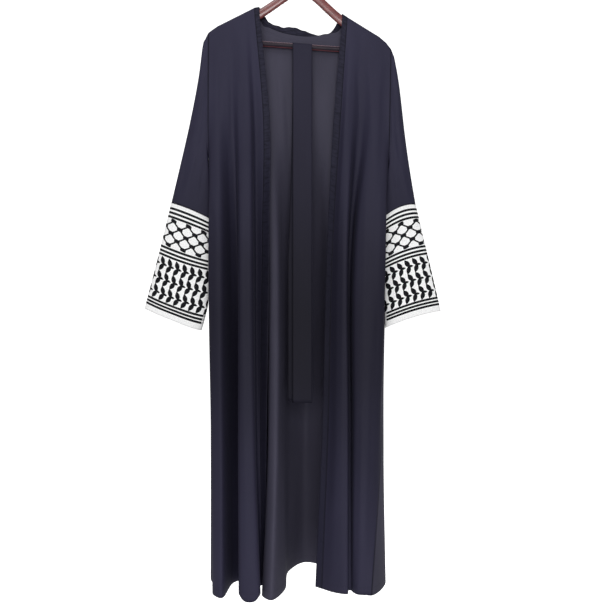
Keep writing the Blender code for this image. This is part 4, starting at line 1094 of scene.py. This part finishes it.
def strand(start, end, bow):
    return drawn_from(start, end, lambda a, swell: a * STRAND_WIDTH + bow * swell)


def sew_net(mesh, face, net_start):
    """The fishnet: rows of slanting knots, each joined to the next row by two strands."""
    count = int(face.girth(NET_TOP + 2 * NET_STEP) / 2 / NET_PITCH) + 1
    for level in range(NET_ROWS):
        down = NET_TOP + level * NET_STEP
        for n in range(-count - 1, count + 2):
            right = net_start + (n + (0.5 if level % 2 else 0.0)) * NET_PITCH
            if abs(right) > face.girth(down) / 2:
                continue
            add_motif(mesh, face, *KNOT_MESH, lambda a, b: (
                right + a * KNOT[0],
                down + b * KNOT[1] * (1 - KNOT_TAPER * (2 * a) ** 2) - face.hand * KNOT_TILT * a * KNOT[0]))
            for way in (-1, 1):
                far = right + way * NET_PITCH / 2
                if level < NET_ROWS - 1 and abs(far) < face.girth(down + NET_STEP) / 2:
                    add_motif(mesh, face, *STRAND_MESH,
                              strand((right, down), (far, down + NET_STEP), STRAND_BOW * way))


def sew_vines(mesh, face, vine_start):
    """The columns of olive leaves."""
    count = int(face.girth(VINE_TOP + 3 * VINE_STEP) / 2 / VINE_PITCH) + 1
    for n in range(-count, count + 1):
        right = vine_start + n * VINE_PITCH
        for repeat in range(VINE_REPEATS):
            down = VINE_TOP + repeat * VINE_STEP
            if abs(right) + VINE_ROOM > face.girth(down + VINE_STEP / 2) / 2:
                continue
            for start, end, width, columns, lines in LEAVES:
                add_motif(mesh, face, columns, lines, leaf(
                    (right + start[0], down + start[1]), (right + end[0], down + end[1]), width))


for name, grid, hand, net_start, vine_start in (
        ("left_cuff_pattern", left_cuff_grid, -1, 22.0, 19.0),
        ("right_cuff_pattern", right_cuff_grid, 1, -14.0, -21.0)):
    face = CuffFace(grid, hand)
    mesh = bmesh.new()
    for down in LINE_PLACES:
        girth = face.girth(down)
        add_motif(mesh, face, *LINE_MESH, lambda a, b: (a * girth, down + b * LINE_WIDTH))
    sew_net(mesh, face, net_start)
    sew_vines(mesh, face, vine_start)
    pattern = make_piece(name, mesh, thread)
    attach(pattern, "root")


# The stitching: short stitches of dark thread through the bands, the neck band, the armholes
# and the hems, and white ones above the cuffs' hems. Each stitch pierces the cloth, so it
# stands a little proud on both faces.
STITCH = 3.0
STITCH_GAP = 1.4
STITCH_WIDTH = 0.9
STITCH_RISE = 0.35
HEM_ROW = 3
one_stitch = bpy.data.meshes.new("one_stitch")


def down_column(grid, column, rows_down=None):
    """The run of crossings down a column of a grid, from its top."""
    return [(row, column % len(grid[0])) for row in range(rows_down or len(grid))]


def along_row(grid, row):
    return [(row % len(grid), column) for column in range(len(grid[0]))]


def stitch_run(mesh, grid, run, wall):
    """Stitches through the cloth along a run of its grid's crossings."""
    last_row, last_column = len(grid) - 1, len(grid[0]) - 1
    still_to_go = STITCH_GAP
    for (row, column), (next_row, next_column) in zip(run, run[1:]):
        start, end = grid[row][column], grid[next_row][next_column]
        length = (end - start).length
        if row == next_row:
            side = grid[min(row + 1, last_row)][column] - grid[max(row - 1, 0)][column]
        else:
            side = grid[row][min(column + 1, last_column)] - grid[row][max(column - 1, 0)]
        while still_to_go < length:
            along = (end - start).normalized()
            through = along.cross(side).normalized()
            place = Matrix.Identity(4)
            place.col[0] = (*(along * STITCH / 2 * MM), 0.0)
            place.col[1] = (*(through.cross(along) * STITCH_WIDTH / 2 * MM), 0.0)
            place.col[2] = (*(through * (wall / 2 + STITCH_RISE) * MM), 0.0)
            place.col[3] = (*(start.lerp(end, still_to_go / length) * MM), 1.0)
            bead = bmesh.new()
            bmesh.ops.create_icosphere(bead, subdivisions=2, radius=1.0, matrix=place)
            bead.to_mesh(one_stitch)
            bead.free()
            mesh.from_mesh(one_stitch)
            still_to_go += STITCH + STITCH_GAP
        still_to_go -= length


def stitching(name, runs, wall, finish):
    """One piece with all the stitches of the given runs, each a grid and a run of its crossings."""
    mesh = bmesh.new()
    for grid, run in runs:
        stitch_run(mesh, grid, run, wall)
    piece = make_piece(name, mesh, finish)
    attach(piece, "root")


def stitch_finish(name, roughness, dark, light):
    """Twisted thread, its plies showing as fine dark and light."""
    finish = start_finish(name, {"Roughness": roughness, "Specular IOR Level": 0.2})
    ply = speckle(finish, spot_on(finish), 1500.0, 2.0)
    feed(finish, "Base Color", shades(finish, ply, ((0.35, dark), (0.7, light))))
    return finish


dark_stitch = stitch_finish("dark_stitching", 0.6, (0.005, 0.005, 0.010), (0.014, 0.013, 0.024))
white_stitch = stitch_finish("white_stitching", 0.7, (0.68, 0.68, 0.69), (0.86, 0.86, 0.86))

columns = [(grid, column) for grid in (left_grid, right_grid) for column in (2, BAND_COLUMNS - 2)]
band_runs = [(grid, down_column(grid, column)) for grid, column in columns]
band_runs += [(neck_grid, along_row(neck_grid, row)) for row in (1, -2)]
stitching("band_stitches", band_runs, BAND_WALL, dark_stitch)
armhole_columns = ((left_grid, -3), (right_grid, -3), (back_grid, 2), (back_grid, -3))
stitching("armhole_stitches", [(grid, down_column(grid, column, len(sleeve_rows)))
                               for grid, column in armhole_columns], PANEL_WALL, dark_stitch)
stitching("hem_stitches", [(grid, along_row(grid, -HEM_ROW)) for grid in (back_grid, left_grid, right_grid)],
          PANEL_WALL, dark_stitch)
stitching("cuff_stitches", [(grid, along_row(grid, -HEM_ROW)) for grid in (left_cuff_grid, right_cuff_grid)],
          CUFF_WALL, white_stitch)


# The sash: a long doubled strip of the crepe, its own belt, folded over the trouser bar so
# that both tails hang free behind the fronts, the back one slipped a little to the left.
SASH_WALL = 1.3
SASH_WIDTH = 46.0
SASH_MID_X = -7.3
SASH_END_Z = -1077.0
SASH_SLIP, SLIP_SHARE = 11.0, 0.6
SASH_COLUMNS = 24
# Fine steps down each tail and round the bar, and the shares of the fall at a tail's two ends
TAIL_STEPS, BAR_STEPS = 90, 16
TAIL_TOP, BACK_TAIL_END = 0.01, 0.995
# How far each tail leans away from the bar, and its sway: depth, turns, and the share that it needs
FRONT_LEAN, FRONT_SWAY, FRONT_TURNS = 3.5, 1.6, 11
BACK_LEAN, BACK_SWAY, BACK_TURNS = 2.0, 1.4, 9
SWAY_START = 0.08
# From the bar's face to the middle of the sash, and the curl of the tails, which starts lower down
SASH_OFF = 1.2
SASH_CURL, CURL_FALL = 1.2, 90.0
# The sash's crepe is coloured darker than the fronts', a painted shade, and its painted light and shade down
# the fall is stronger.
sash_crepe = crepe_finish("sash_crepe", (0.0148, 0.0135, 0.027), (0.021, 0.0192, 0.037), 1.15)


def bar_height(x):
    """Height of the askew bar's middle at x."""
    return BAR_Z / math.cos(TILT) - x * math.tan(TILT)


bar_mid = bar_height(SASH_MID_X)
fall = bar_mid - SASH_END_Z
over = BAR_RADIUS + SASH_OFF
path = []
for n in range(TAIL_STEPS):
    share = 1.0 - (1 - TAIL_TOP) * n / (TAIL_STEPS - 1)
    sway = FRONT_SWAY * math.sin(share * FRONT_TURNS) * ease(share / SWAY_START)
    path.append((-over + FRONT_LEAN * share + sway, bar_mid - fall * share, 0.0))
for n in range(BAR_STEPS + 1):
    turn = math.pi * n / BAR_STEPS
    path.append((-over * math.cos(turn), bar_mid + over * math.sin(turn), 0.0))
for n in range(TAIL_STEPS):
    share = TAIL_TOP + (BACK_TAIL_END - TAIL_TOP) * n / (TAIL_STEPS - 1)
    sway = BACK_SWAY * math.sin(share * BACK_TURNS) * ease(share / SWAY_START)
    path.append((over + BACK_LEAN * share + sway, bar_mid - fall * share,
                 SASH_SLIP * min(1.0, share / SLIP_SHARE) ** 2))
sash_grid = []
for y, z, slip in path:
    near_bar = max(0.0, 1 - max(0.0, bar_mid - z) / CURL_FALL)
    line = []
    for n in range(SASH_COLUMNS + 1):
        w = n / SASH_COLUMNS - 0.5
        curl = SASH_CURL * (1 - 4 * w * w) * (1 - near_bar)
        line.append(Vector((SASH_MID_X - slip + w * SASH_WIDTH, y - math.copysign(curl, -y),
                            z - math.tan(TILT) * w * SASH_WIDTH * near_bar)))
    sash_grid.append(line)
cloth_piece("sash_cloth", sash_grid, sash_crepe, SASH_WALL, "sash",
            seams=("left",))
stitching("sash_stitches", [(sash_grid, down_column(sash_grid, column)) for column in (1, -2)],
          SASH_WALL, dark_stitch)
